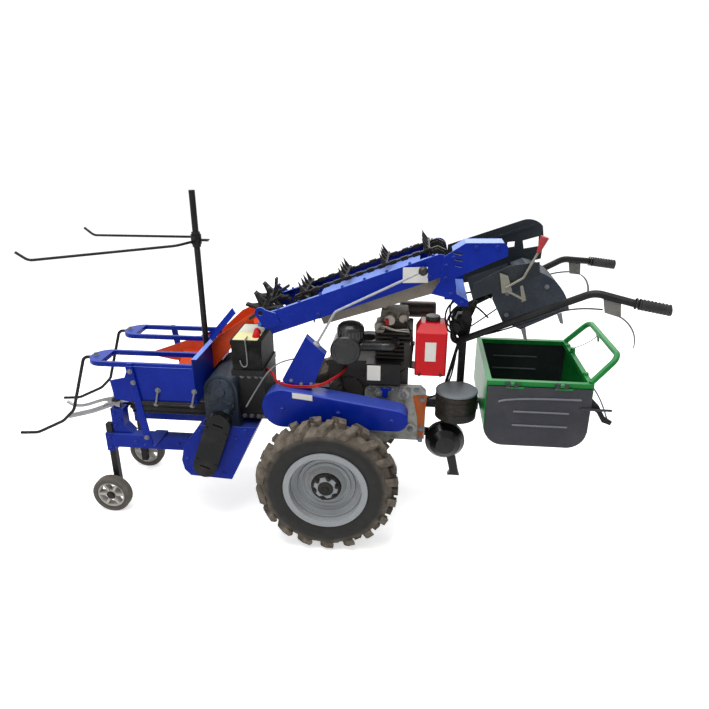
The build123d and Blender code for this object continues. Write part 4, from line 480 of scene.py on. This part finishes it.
plate_bolts = bmesh.new()
for side in (-1, 1):
    bolt_face(plate_bolts, side * 250, (
        (-600, 285), (-470, 262), (-400, 440), (-360, 484), (-560, 470), (-630, 330)), 0.011)
keep(plate_bolts, "plate_bolts", blue_enamel)

# Mast: black steel tube in two saddles on the gate, with a sliding clamp that holds the pair of guide rods.
# A screw with a short bar tightens the clamp between two collars.
dress(black_enamel, "mast")
MAST_X, MAST_Y, CLAMP_Z = -585, -8, 1250
clamp = bmesh.new()
add_round(clamp, from_axle(MAST_X, MAST_Y - 22, CLAMP_Z + 8), (0, -1, 0), 0.009, 0.014, 6)
add_round(clamp, from_axle(MAST_X + 22, MAST_Y, CLAMP_Z - 4), (1, 0, 0), 0.006, 0.03, 12)
add_round(clamp, from_axle(MAST_X, MAST_Y, CLAMP_Z + 20), (0, 0, 1), 0.018, 0.01, 24)
add_round(clamp, from_axle(MAST_X, MAST_Y, CLAMP_Z - 32), (0, 0, 1), 0.018, 0.012, 24)
add_round(clamp, from_axle(MAST_X + 50, MAST_Y - 14, CLAMP_Z - 4), (0, 1, 0), 0.0035, 0.028, 12)
keep(clamp, "mast_clamp_screw", dark_steel)

# Elevator bed: two folded channels of blue sheet, their lips bolted down to the floor between them.
# The small bolts stand at even steps along each lip, and three larger ones on either channel's side.
# The channels' lips are pale with a painted highlight.
dress(blue_enamel_painted_highlight, "elevator_bed")
SLOPE = math.radians(20.8)
LIP_FOOT = from_axle(-289, 0, 972)
up_slope = Vector((math.cos(SLOPE), 0, math.sin(SLOPE)))
off_slope = Vector((-math.sin(SLOPE), 0, math.cos(SLOPE)))


def on_elevator(along, off, y):
    """A point in millimetres up the slope from the lips' foot, square to them, and right of the middle."""
    return LIP_FOOT + up_slope * along / 1000 + off_slope * off / 1000 + Vector((0, y / 1000, 0))


LIP_Y, CHANNEL_SIDE = 155, 165
lip_bolts = bmesh.new()
for side in (-1, 1):
    for step in range(8):
        add_bolt(lip_bolts, on_elevator(80 + step * 94, 0, side * LIP_Y), off_slope, 0.009)
    for along in (230, 470, 700):
        add_bolt(lip_bolts, on_elevator(along, -72, side * CHANNEL_SIDE), (0, side, 0), 0.01)
keep(lip_bolts, "lip_bolts", blue_enamel)

# Blank plates: thin pale anodised aluminium, glued to the elevator's side behind the lever's knob, and to the
# belt guard, the tank and the control box.
plate_aluminium = moulded("blank_plate_aluminium", "#dcdad4", "#bfbdb7", 0.42, grain=0.02, dusty=0.15)
blank_plates = (
    # name, corners along x and z in turn, y of the surface
    ("elevator_plate", ((288, 1126), (386, 1130), (382, 1192), (287, 1188)), -CHANNEL_SIDE),
    ("guard_plate", ((-150, 650), (-66, 641), (-66, 666), (-150, 675)), -255),
    ("tank_plate", ((386, 806), (430, 806), (430, 888), (386, 888)), -180),
    ("control_plate", ((150, 698), (206, 698), (206, 766), (150, 766)), -150),
)
for name, corners, y in blank_plates:
    plate = bmesh.new()
    side_plate(plate, y, corners, 0.001, 0.0003)
    keep(plate, name, plate_aluminium)

# Under pan: galvanised sheet, hung below the chain's return run.
# Its zinc has weathered to a flat pale grey, with darker stains of dust.
dress(casting("dusty_galvanised_sheet", "#8a8378", "#6b655c", 0.15, 0.6, grease="#4b453c", grain=200),
      "elevator_pan")

# Elevator chain and feed impeller: dark steel links with pointed tines, and moulded rubber fingers.
# The oiled steel has a dull sheen, and the rubber is matt.
dress(dark_steel, "elevator_chain")
dress(moulded("finger_rubber", "#1e1e1f", "#121213", 0.65, grain=0.3), "feed_impeller")

# Elevator head and discharge chute: blue plates bolted over the channels' ends, and a dark chute behind them.
# The chute's wall is high on the right, with two windows and two pressed ribs.
# The head plates' upper faces are pale with a painted highlight.
dress(blue_enamel_painted_highlight, "elevator_head")
dress(enamel("dark_chute_enamel", "#1f262d", "#151a1f", 0.42, dust_and_highlight="#77716a", dusty=0.1, gloss=0.2,
             worn="#4c545d"), "discharge_chute")
head_bolts = bmesh.new()
bolt_face(head_bolts, -168, (
    (452, 1150), (452, 1200), (478, 1232), (560, 1272), (640, 1276), (476, 1088), (520, 1054)), 0.011)
keep(head_bolts, "head_bolts", blue_enamel)

# Discharge hood: dark grey sheet rolled over two side plates, with straps that hang from its lower edge.
# Its satin enamel is paler where the edges are rubbed, and bolts hold it to the chute.
hood_enamel = enamel("dark_hood_enamel", "#303843", "#242b34", 0.45, dust_and_highlight="#7f7b74", dusty=0.14, gloss=0.18,
                     worn="#5b626d")
dress(hood_enamel, "discharge_hood")
hood_trim = bmesh.new()
bolt_face(hood_trim, -105, ((700, 1080), (705, 990), (850, 1110), (900, 1040)), 0.011)
for x, z, drop in ((766, 934, 44), (900, 1000, 36)):
    side_plate(hood_trim, -108, ((x, z), (x + 16, z - drop), (x + 30, z - drop - 4), (x + 18, z + 8)),
               0.003, 0.0008)
keep(hood_trim, "hood_trim", zinc_steel)


# Gear lever: zinc-plated rods and slotted plates on the chute, ending in a red cone of soft plastic.
# The shift lever is bright bar with a black ball, and both are one welded piece up to the knob.
def split_at(name, start, direction, below, above, roughness, gloss=0.3, soiled=0.4):
    """Two finishes on one piece, which change where it passes a plane through a point."""
    material, tree, place = new_material(name)
    shift = add(tree, "ShaderNodeVectorMath", operation="SUBTRACT", I0=place, I1=start)
    passed = add(tree, "ShaderNodeVectorMath", operation="DOT_PRODUCT", I0=shift,
                 I1=Vector(direction).normalized())
    side = add(tree, "ShaderNodeMath", operation="GREATER_THAN", I0=passed.outputs["Value"], I1=0.0)
    stains = add(tree, "ShaderNodeTexNoise", Vector=place, Scale=60, Detail=6, Roughness=0.7)
    soiling = add(tree, "ShaderNodeMapRange", Value=stains, From_Min=0.4, From_Max=0.75, To_Max=soiled)
    base = add(tree, "ShaderNodeMixRGB", Fac=side, Color1=below, Color2=above)
    colour = add(tree, "ShaderNodeMixRGB", Fac=soiling, Color1=base, Color2="#4d4438")
    bump = add(tree, "ShaderNodeBump", Strength=0.15, Distance=0.0006, Height=stains)
    return finish(material, Base_Color=colour, Roughness=roughness, Normal=bump, Specular_IOR_Level=gloss)


gear_lever_finish = split_at("zinc_lever_red_knob", from_axle(787, -180, 1259), (18, 0, 58),
                             "#7b796d", "#a02328", 0.42)
shift_lever_finish = split_at("steel_lever_black_knob", from_axle(349, -196, 1174), (340, 0, 173),
                              "#9d9fa2", "#141415", 0.32)
dress(gear_lever_finish, "gear_lever")
dress(shift_lever_finish, "shift_lever")

# Lever console: a box of blue sheet on the belt guard, screwed down at its foot.
# The battery's two red leads and the thin zinc-plated throttle rod are held along the machine.
dress(blue_enamel, "lever_console")
console_screws = bmesh.new()
bolt_face(console_screws, -215, ((-160, 712), (-118, 698), (-76, 700)), 0.009)
keep(console_screws, "console_screws", zinc_steel)
red_lead = moulded("red_lead_sheath", "#c01d22", "#9a1419", 0.45, grain=0.05, dusty=0.15)
for lead, lift in enumerate((0, 7)):
    bent_bar(f"battery_lead_{lead + 1}", (
        (-292, -150, 740 + lift), (-236, -205, 735 + lift), (-226, -220, 706 + lift),
        (-190, -221, 689 + lift), (-130, -221, 682 + lift), (-40, -221, 690 + lift), (20, -200, 720 + lift),
        (58, -120, 726 + lift), (58, -86, 726 + lift)), 0.0032, red_lead)
bent_bar("throttle_rod", (
    (-120, -180, 800), (-190, -222, 806), (-250, -246, 760), (-300, -246, 680), (-348, -246, 600),
    (-354, -236, 588), (-354, -108, 586)), 0.0032, zinc_steel)

# Belt guard: a deep-drawn blue steel cover over the drive belts, its rim rolled.
# Three screws, painted with it, hold it to the frame.
dress(blue_enamel, "belt_guard")
guard_screws = bmesh.new()
bolt_face(guard_screws, -255, ((-194, 598), (40, 590), (262, 566)), 0.013)
keep(guard_screws, "guard_screws", blue_enamel)

# Main frame: two rails of black box tube from the gear housing to the transmission.
# They are welded, and wear the same satin enamel as the gauge legs.
dress(black_enamel, "main_frame")

# Transmission: a rough aluminium casting with an oily film, its cover closed by a row of bolts.
# A small blue bracket holds the shift rod, and a rusty plate stiffens the rear edge.
silver_casting = casting("silver_casting", "#a3a39e", "#787873", 0.25, 0.5, grease="#27211b", greasy=0.85)
dress(silver_casting, "transmission")
dress(casting("rusty_plate", "#b55d2a", "#8d441d", 0.0, 0.75, grease="#5b2a12"), "side_bracket")
AXLE_FLANGE_Y, FLANGE_CIRCLE = 252, 44
case_bolts = bmesh.new()
bolt_face(case_bolts, -131, [(160 + 33 * bolt, 654) for bolt in range(7)], 0.013)
bolt_face(case_bolts, -139, ((200, 634), (305, 632), (338, 470)), 0.015)
bolt_face(case_bolts, -129, ((386, 610), (384, 470), (380, 420)), 0.015)
for side in (-1, 1):
    bolt_face(case_bolts, side * AXLE_FLANGE_Y, [
        (FLANGE_CIRCLE * math.cos(a), AXLE_Z + FLANGE_CIRCLE * math.sin(a))
        for a in (math.radians(45 * turn) for turn in range(8))], 0.013)
keep(case_bolts, "case_bolts", zinc_steel)
bracket = bmesh.new()
side_plate(bracket, -131, (
    (214, 618), (226, 612), (238, 618), (240, 648), (252, 652), (252, 660), (204, 660), (204, 652),
    (214, 648)), 0.012, 0.002)
keep(bracket, "rod_bracket", blue_enamel)

# Engine: an air-cooled diesel, its iron block and fins dark with oil and its head and pump bright alloy.
# Steel injection pipes run from the pump to the head, with a red decompression knob, and four sheathed cables
# are held along the block.
bright_alloy = casting("bright_engine_alloy", "#a8a39a", "#7f7a70", 0.4, 0.45, grease="#5a4326", greasy=0.6)
engine_finish = split_at("oily_block_alloy_head", from_axle(0, 0, 932), (0, 0, 1), "#3b3a38", "#8a857c", 0.5,
                         gloss=0.15, soiled=0.45)
dress(engine_finish, "engine")
HEAD_TOP = 975
head_parts = bmesh.new()
add_round(head_parts, from_axle(238, -52, 944), (0, -1, 0), 0.024, 0.034, 24, 0.9)
add_round(head_parts, from_axle(214, -18, HEAD_TOP - 2), (0, 0, 1), 0.012, 0.014, 20)
add_round(head_parts, from_axle(292, -36, 948), (0, -1, 0), 0.017, 0.04, 20)
add_round(head_parts, from_axle(196, -48, 905), (0, -1, 0), 0.026, 0.03, 24, 0.85)
for x in (204, 306):
    for y in (-40, 40):
        add_bolt(head_parts, from_axle(x, y, 936), (0, 0, 1), 0.014)
PUMP_X, PUMP_Z = 334, 846
for x in (176, PUMP_X):
    add_round(head_parts, from_axle(x, -80, PUMP_Z), (0, -1, 0), 0.012, 0.012, 6)
keep(head_parts, "engine_head_parts", bright_alloy)
red_knob = bmesh.new()
add_round(red_knob, from_axle(226, -86, 930), (0, -0.4, 1), 0.009, 0.022, 16, 0.8)
keep(red_knob, "decompression_knob", red_lead)
for pipe, shift in enumerate((0, 9)):
    bent_bar(f"injection_pipe_{pipe + 1}", (
        (PUMP_X, -88, PUMP_Z + shift), (PUMP_X, -104, 880 + shift), (322, -108, 905 + shift),
        (296, -106, 905 + shift), (250 + shift, -98, 905), (196 + shift, -92, 928), (196 + shift, -80, 905)),
        0.0032, bright_alloy)
dark_cable = moulded("black_cable_sheath", "#1a1a1b", "#101011", 0.5, grain=0.05, dusty=0.12)
engine_cables = (
    ((300, -86, 940), (318, -110, 935), (330, -122, 880), (334, -122, 800), (330, -104, 740),
     (330, -84, 736)),
    ((289, -120, 730), (310, -124, 742), (330, -126, 790), (338, -112, 846), (334, -90, 848)),
    ((60, -92, 600), (40, -112, 640), (34, -112, 690), (50, -100, 756), (56, -84, 760)),
    ((20, -140, 655), (60, -150, 690), (110, -130, 700), (152, -120, 712)),
)
for cable, route in enumerate(engine_cables):
    bent_bar(f"engine_cable_{cable + 1}", route, 0.004, dark_cable)

# Air cleaner: a glossy black plastic drum with a ribbed intake hose, and a slotted cyclone bowl behind it.
# A grey ring closes the drum's lid.
cleaner_black = moulded("glossy_black_plastic", "#1c1d1f", "#121314", 0.25, grain=0.04, gloss=0.3)
dress(cleaner_black, "air_cleaner")
cyclone = bmesh.new()
bowl_foot = from_axle(78, -118, 868)
BOWL_PROFILE = ((0.5, 0), (54, 0), (57, 6), (57, 48), (52, 60), (40, 70), (22, 75), (0.5, 76))
section = [bowl_foot + Vector((radius / 1000, 0, rise / 1000)) for radius, rise in BOWL_PROFILE]
add_ring(cyclone, section, bowl_foot, (0, 0, 1), 40)
keep(cyclone, "cyclone_bowl", cleaner_black)
slots = bmesh.new()
for step in range(9):
    angle = math.radians(-150 + step * 15)
    outward = Vector((math.cos(angle), math.sin(angle), 0))
    sideways = Vector((-math.sin(angle), math.cos(angle), 0))
    middle = bowl_foot + outward * 0.0565 + Vector((0, 0, 0.03))
    add_plate(slots, [middle + sideways * 0.0035 * a + Vector((0, 0, 0.015 * b))
                      for a, b in ((-1, -1), (1, -1), (1, 1), (-1, 1))], 0.002, 0.0006)
DRUM_X, DRUM_SIDE, DRUM_Z = 62, -182, 836
section = [from_axle(DRUM_X, DRUM_SIDE + out, DRUM_Z + radius) for out, radius in (
    (-1, 44), (-2.5, 46), (-1, 48))]
add_ring(slots, section, from_axle(DRUM_X, 0, DRUM_Z), steps=48)
keep(slots, "cyclone_slots", moulded("grey_slot_plastic", "#4b4d50", "#36383a", 0.4))
HOSE_Y, HOSE_Z = -140, 850
RIB_PROFILE = ((-3, 19.5), (-1.5, 22.5), (1.5, 22.5), (3, 19.5))
hose = bmesh.new()
for ring in range(9):
    section = [from_axle(132 + ring * 9 + dx, HOSE_Y, HOSE_Z + radius) for dx, radius in RIB_PROFILE]
    add_ring(hose, section, from_axle(0, HOSE_Y, HOSE_Z), (1, 0, 0), 28)
keep(hose, "intake_hose_ribs", cleaner_black)

# Muffler and control box: a drum of heat-stained steel behind the head, and a box of black sheet for the
# starter.
dress(casting("heat_stained_steel", "#5e5b58", "#3d3a38", 0.5, 0.45, grease="#6a4a34", greasy=0.6), "muffler")
dress(black_enamel, "control_box")

# Fuel tank: blow-moulded red plastic, glossy, with a ribbed black cap and a black plug at either foot.
# Red turns to black at the foot of the cap, on the same piece.
tank_finish = split_at("red_tank_black_cap", from_axle(0, 0, 959.5), (0, 0, 1), "#b80c16", "#111112", 0.22,
                       gloss=0.14, soiled=0.04)
dress(tank_finish, "fuel_tank")
tank_trim = bmesh.new()
for x in (366, 452):
    add_round(tank_trim, from_axle(x, -178, 747), (0, -1, 0), 0.008, 0.006, 16, 0.8)
cap = from_axle(414, -107, 966)
CAP_RADIUS = 0.028
for step in range(20):
    angle = step * math.pi / 10
    add_round(tank_trim, cap + Vector((CAP_RADIUS * math.cos(angle), CAP_RADIUS * math.sin(angle), -0.004)),
              (0, 0, 1), 0.0022, 0.014, 8)
keep(tank_trim, "cap_ribs", cleaner_black)

# Handle column: black tube welded to an arm off the transmission, with one bar bent round its head.
# The grips are moulded rubber with finger ridges, pushed on over the bar's ends.
dress(black_enamel, "handle_frame")
grip_rubber = moulded("black_grip_rubber", "#1b1b1c", "#111112", 0.6, grain=0.35, dusty=0.08, gloss=0.4)
dress(grip_rubber, "grip_left", "grip_right")
RIDGES = 10
RIDGE_PROFILE = ((0.0185, -0.003), (0.0205, -0.0015), (0.0205, 0.0015), (0.0185, 0.003))
for side, name in ((-1, "left"), (1, "right")):
    ridges = bmesh.new()
    start, end = Vector((1116, side * 328, 1118)), Vector((1226, side * 344, 1102))
    run = (from_axle(*end) - from_axle(*start)).normalized()
    square = run.cross(Vector((0, 0, 1))).normalized()
    for step in range(RIDGES):
        centre = from_axle(*start.lerp(end, step / (RIDGES - 1)))
        section = [centre + square * radius + run * shift for radius, shift in RIDGE_PROFILE]
        add_ring(ridges, section, centre, run, 24)
    keep(ridges, f"grip_ridges_{name}", grip_rubber)

# Column head: a cluster of black brackets, pivot bolts and looped control cables where the bar is clamped.
# The brackets are cut from sheet, and the cables are sheathed in dull black plastic.
head_cluster = bmesh.new()
add_round(head_cluster, from_axle(510, -26, 905), (0, -1, 0), 0.026, 0.016, 24, 0.9)
add_round(head_cluster, from_axle(545, -20, 870), (0, -1, 0), 0.017, 0.014, 20)
side_plate(head_cluster, -22, (
    (488, 930), (500, 880), (532, 862), (572, 872), (580, 940), (560, 992), (540, 996), (534, 950)),
    0.005, 0.0015)
side_plate(head_cluster, 26, (
    (500, 925), (512, 880), (560, 880), (590, 960), (604, 1004), (588, 1008), (560, 960)), 0.005, 0.0015)
add_bolt(head_cluster, from_axle(556, -27, 980), (0, -1, 0), 0.014)
keep(head_cluster, "column_head_brackets", black_enamel)
column_cables = (
    ((560, -30, 905), (520, -62, 960), (492, -76, 930), (500, -64, 880), (540, -44, 800), (552, -30, 700),
     (524, -26, 610), (470, -40, 570), (392, -50, 560)),
    ((556, -26, 985), (520, -48, 1000), (488, -66, 985), (478, -66, 940), (500, -48, 905)),
    ((610, -90, 900), (560, -50, 872), (524, -34, 840), (520, -26, 760), (500, -26, 640), (440, -60, 590),
     (388, -64, 580)),
    ((512, -36, 930), (480, -60, 960), (486, -50, 1030), (540, -30, 1056), (600, 10, 1050), (660, 60, 1010)),
    ((500, -36, 900), (462, -60, 930), (470, -40, 1000), (530, -10, 1030), (570, 40, 990), (556, 30, 930)),
    ((520, -40, 880), (476, -70, 890), (470, -66, 950), (510, -50, 1010), (580, -40, 1020), (640, -60, 960)),
)
for cable, route in enumerate(column_cables):
    bent_bar(f"column_cable_{cable + 1}", route, 0.0038, dark_cable)

# Clutch levers: brackets of zinc-plated plate under the bars, each with a thin curved blade of spring steel.
# A sheathed cable runs from each along the bar to the column.
lever_zinc = casting("dull_zinc_plate", "#75746f", "#514f4b", 0.3, 0.5, grease="#2c2722", greasy=0.7,
                     grain=300)
dress(lever_zinc, "clutch_lever_left", "clutch_lever_right")
for side, name in ((-1, "left"), (1, "right")):
    bent_bar(f"clutch_cable_{name}", (
        (1020, side * 282, 1078), (930, side * 262, 1080), (820, side * 205, 1015), (700, side * 140, 940),
        (600, side * 80, 884), (552, side * 34, 868)), 0.003, dark_cable)

# Rear can and bowl: a flat black drum with a pale grey lid, and a round cover of glossy black enamel.
# The drum's side is brown with old dust.
drum_enamel = enamel("dusty_black_drum", "#1b1916", "#100e0d", 0.45, dust_and_highlight="#6b5a42", gloss=0.2,
                     worn="#4b4640")
bowl_enamel = enamel("gloss_black_bowl", "#0d0e0f", "#060708", 0.2, dust_and_highlight="#6d675f", dusty=0.03, gloss=0.22)
dress(drum_enamel, "rear_can")
dress(bowl_enamel, "rear_bowl")
CAN_LID = from_axle(528, -110, 647)
LID_PROFILE = ((0.5, 0), (84, 0), (88, 1), (88, 6), (84, 9), (79, 7), (0.5, 7))
BAND_PROFILE = ((86, -3), (89, -2), (89, 2), (86, 3))


def round_can(profile, rise):
    """A section at a can's radii and heights, in millimetres, moved up the can by a rise."""
    return [CAN_LID + Vector((radius / 1000, 0, (rise + height) / 1000)) for radius, height in profile]


lid = bmesh.new()
add_ring(lid, round_can(LID_PROFILE, 0), CAN_LID, (0, 0, 1))
keep(lid, "can_lid", enamel("grey_lid_enamel", "#6f757c", "#565c63", 0.5, dust_and_highlight="#8a857c", dusty=0.35))
bands = bmesh.new()
for rise in (-78, -24):
    add_ring(bands, round_can(BAND_PROFILE, rise), CAN_LID, (0, 0, 1))
keep(bands, "can_bands", black_enamel)

# Basket: a tub of bright green enamel between a rim of square tube, its edges rubbed paler.
# The right panel and the left door are dark grey sheet, pressed with ribs whose pale grey is a painted
# highlight, and two short green strips cover the door's hinges.
# The green's paler colour on upward faces is a painted highlight.
green_enamel = enamel("green_enamel", "#0b8232", "#066026", 0.34, dust_and_highlight="#6fb984", dusty=0.08, gloss=0.2,
                      worn="#3fae62", top_highlight=0.2)
dress(green_enamel, "basket_tub")
dress(enamel("grey_panel_enamel", "#34353c", "#27282d", 0.42, dust_and_highlight="#7b776f", dusty=0.1, gloss=0.2,
             worn="#8a8b93"), "basket_panel", "basket_door")
DOOR_SIDE, DOOR_TOP = -256, 741
hinges = bmesh.new()
for x in (742, 930):
    side_plate(hinges, DOOR_SIDE, (
        (x - 34, DOOR_TOP - 4), (x + 34, DOOR_TOP - 4), (x + 34, DOOR_TOP + 3), (x - 34, DOOR_TOP + 3)),
        0.002, 0.0006)
keep(hinges, "hinge_strips", green_enamel, "door")
# Rib bars: their pale grey enamel stands for the light the pressed ribs catch, a painted highlight.
rib_highlight_enamel = enamel("rib_painted_highlight_enamel", "#74757d", "#5b5c64", 0.4, dust_and_highlight="#8b877f", dusty=0.15, gloss=0.25)
door_ribs = (
    ((684, 676), (700, 698), (1000, 698)),
    ((744, 637), (960, 637)),
    ((744, 576), (960, 576)),
)
for rib, line in enumerate(door_ribs):
    bent_bar(f"door_rib_{rib + 1}", [(x, DOOR_SIDE - 0.5, z) for x, z in line], 0.0042, rib_highlight_enamel,
             "door")
for rib, z in enumerate((676, 614)):
    bent_bar(f"panel_rib_{rib + 1}", ((714, 246.5, z), (916, 246.5, z)), 0.0038, rib_highlight_enamel)

# Latch and rope pull: a sprung black catch behind the basket, and a small crank under the hoop.
# A thin wire joins the crank to the highest of three bosses on the rear rim.
catch = bmesh.new()
side_plate(catch, -236, (
    (1042, 660), (1070, 640), (1094, 600), (1128, 588), (1134, 604), (1104, 622), (1074, 672), (1042, 704)),
    0.012, 0.003)
keep(catch, "basket_catch", black_enamel)
bent_bar("catch_spring_wire", ((1038, -230, 752), (1064, -232, 720), (1096, -232, 660), (1120, -232, 600)),
         0.003, zinc_steel)
RIM_X, RIM_TOP = 1034, 762
cranks = bmesh.new()
add_plate(cranks, [from_axle(1128, y, z) for y, z in (
    (118, 862), (84, 862), (66, 828), (78, 822), (94, 838), (120, 846))], 0.005, 0.001)
for y, radius, height in ((90, 0.012, 0.024), (170, 0.010, 0.010), (-150, 0.012, 0.010)):
    add_round(cranks, from_axle(RIM_X, y, RIM_TOP), (0, 0, 1), radius, height, 16, 0.8)
keep(cranks, "hoop_cranks", green_enamel)
bent_bar("crank_wire", ((1130, 90, 850), (1110, 90, 815), (RIM_X, 90, 784)), 0.0018, zinc_steel)


# Studio: a pale matte floor and backdrop that the camera sees as white, with the machine's shadow kept.
# Light comes from the backdrop and from three soft boxes, above, in front and behind.
def seen_directly(tree):
    """One where the camera, a reflection or glass looks at a surface, and nothing for the light it gives."""
    rays = add(tree, "ShaderNodeLightPath")
    mirrored = add(tree, "ShaderNodeMath", operation="ADD", use_clamp=True, I0=rays.outputs["Is Camera Ray"],
                   I1=rays.outputs["Is Glossy Ray"])
    return add(tree, "ShaderNodeMath", operation="ADD", use_clamp=True, I0=mirrored,
               I1=rays.outputs["Is Transmission Ray"])


floor_material, tree = new_material("studio_floor")[:2]
lift = add(tree, "ShaderNodeMath", operation="MULTIPLY", I0=seen_directly(tree), I1=0.55)
finish(floor_material, Base_Color="#f2f2f2", Roughness=0.95, Specular_IOR_Level=0.0, Emission_Color="#ffffff",
       Emission_Strength=lift)
floor_mesh = bmesh.new()
bmesh.ops.create_grid(floor_mesh, x_segments=1, y_segments=1, size=30)
floor_data = bpy.data.meshes.new("studio_floor")
floor_mesh.to_mesh(floor_data)
floor_mesh.free()
floor = bpy.data.objects.new("studio_floor", floor_data)
floor_data.materials.append(floor_material)
bpy.context.collection.objects.link(floor)

world = bpy.data.worlds.new("studio_world")
world.use_nodes = True
sky = world.node_tree
background = sky.nodes["Background"].inputs
plug(sky, background["Color"], "#ffffff")
plug(sky, background["Strength"], add(sky, "ShaderNodeMapRange", Value=seen_directly(sky), To_Min=0.52,
                                      To_Max=1.0))
bpy.context.scene.world = world


def softbox(name, place, aim, size, power):
    """A square area lamp that faces a point."""
    lamp = bpy.data.lights.new(name, "AREA")
    lamp.shape = "SQUARE"
    lamp.size = size
    lamp.energy = power
    stand = bpy.data.objects.new(name, lamp)
    stand.location = place
    stand.rotation_euler = (Vector(aim) - Vector(place)).to_track_quat("-Z", "Y").to_euler()
    bpy.context.collection.objects.link(stand)


softbox("top_softbox", (-0.4, -0.9, 4.6), (0, 0, 0.7), 3.0, 200)
softbox("key_softbox", (-2.6, -3.4, 3.2), (0, 0, 0.6), 2.0, 30)
softbox("back_softbox", (0.8, 3.8, 3.4), (0, 0, 0.6), 2.6, 60)
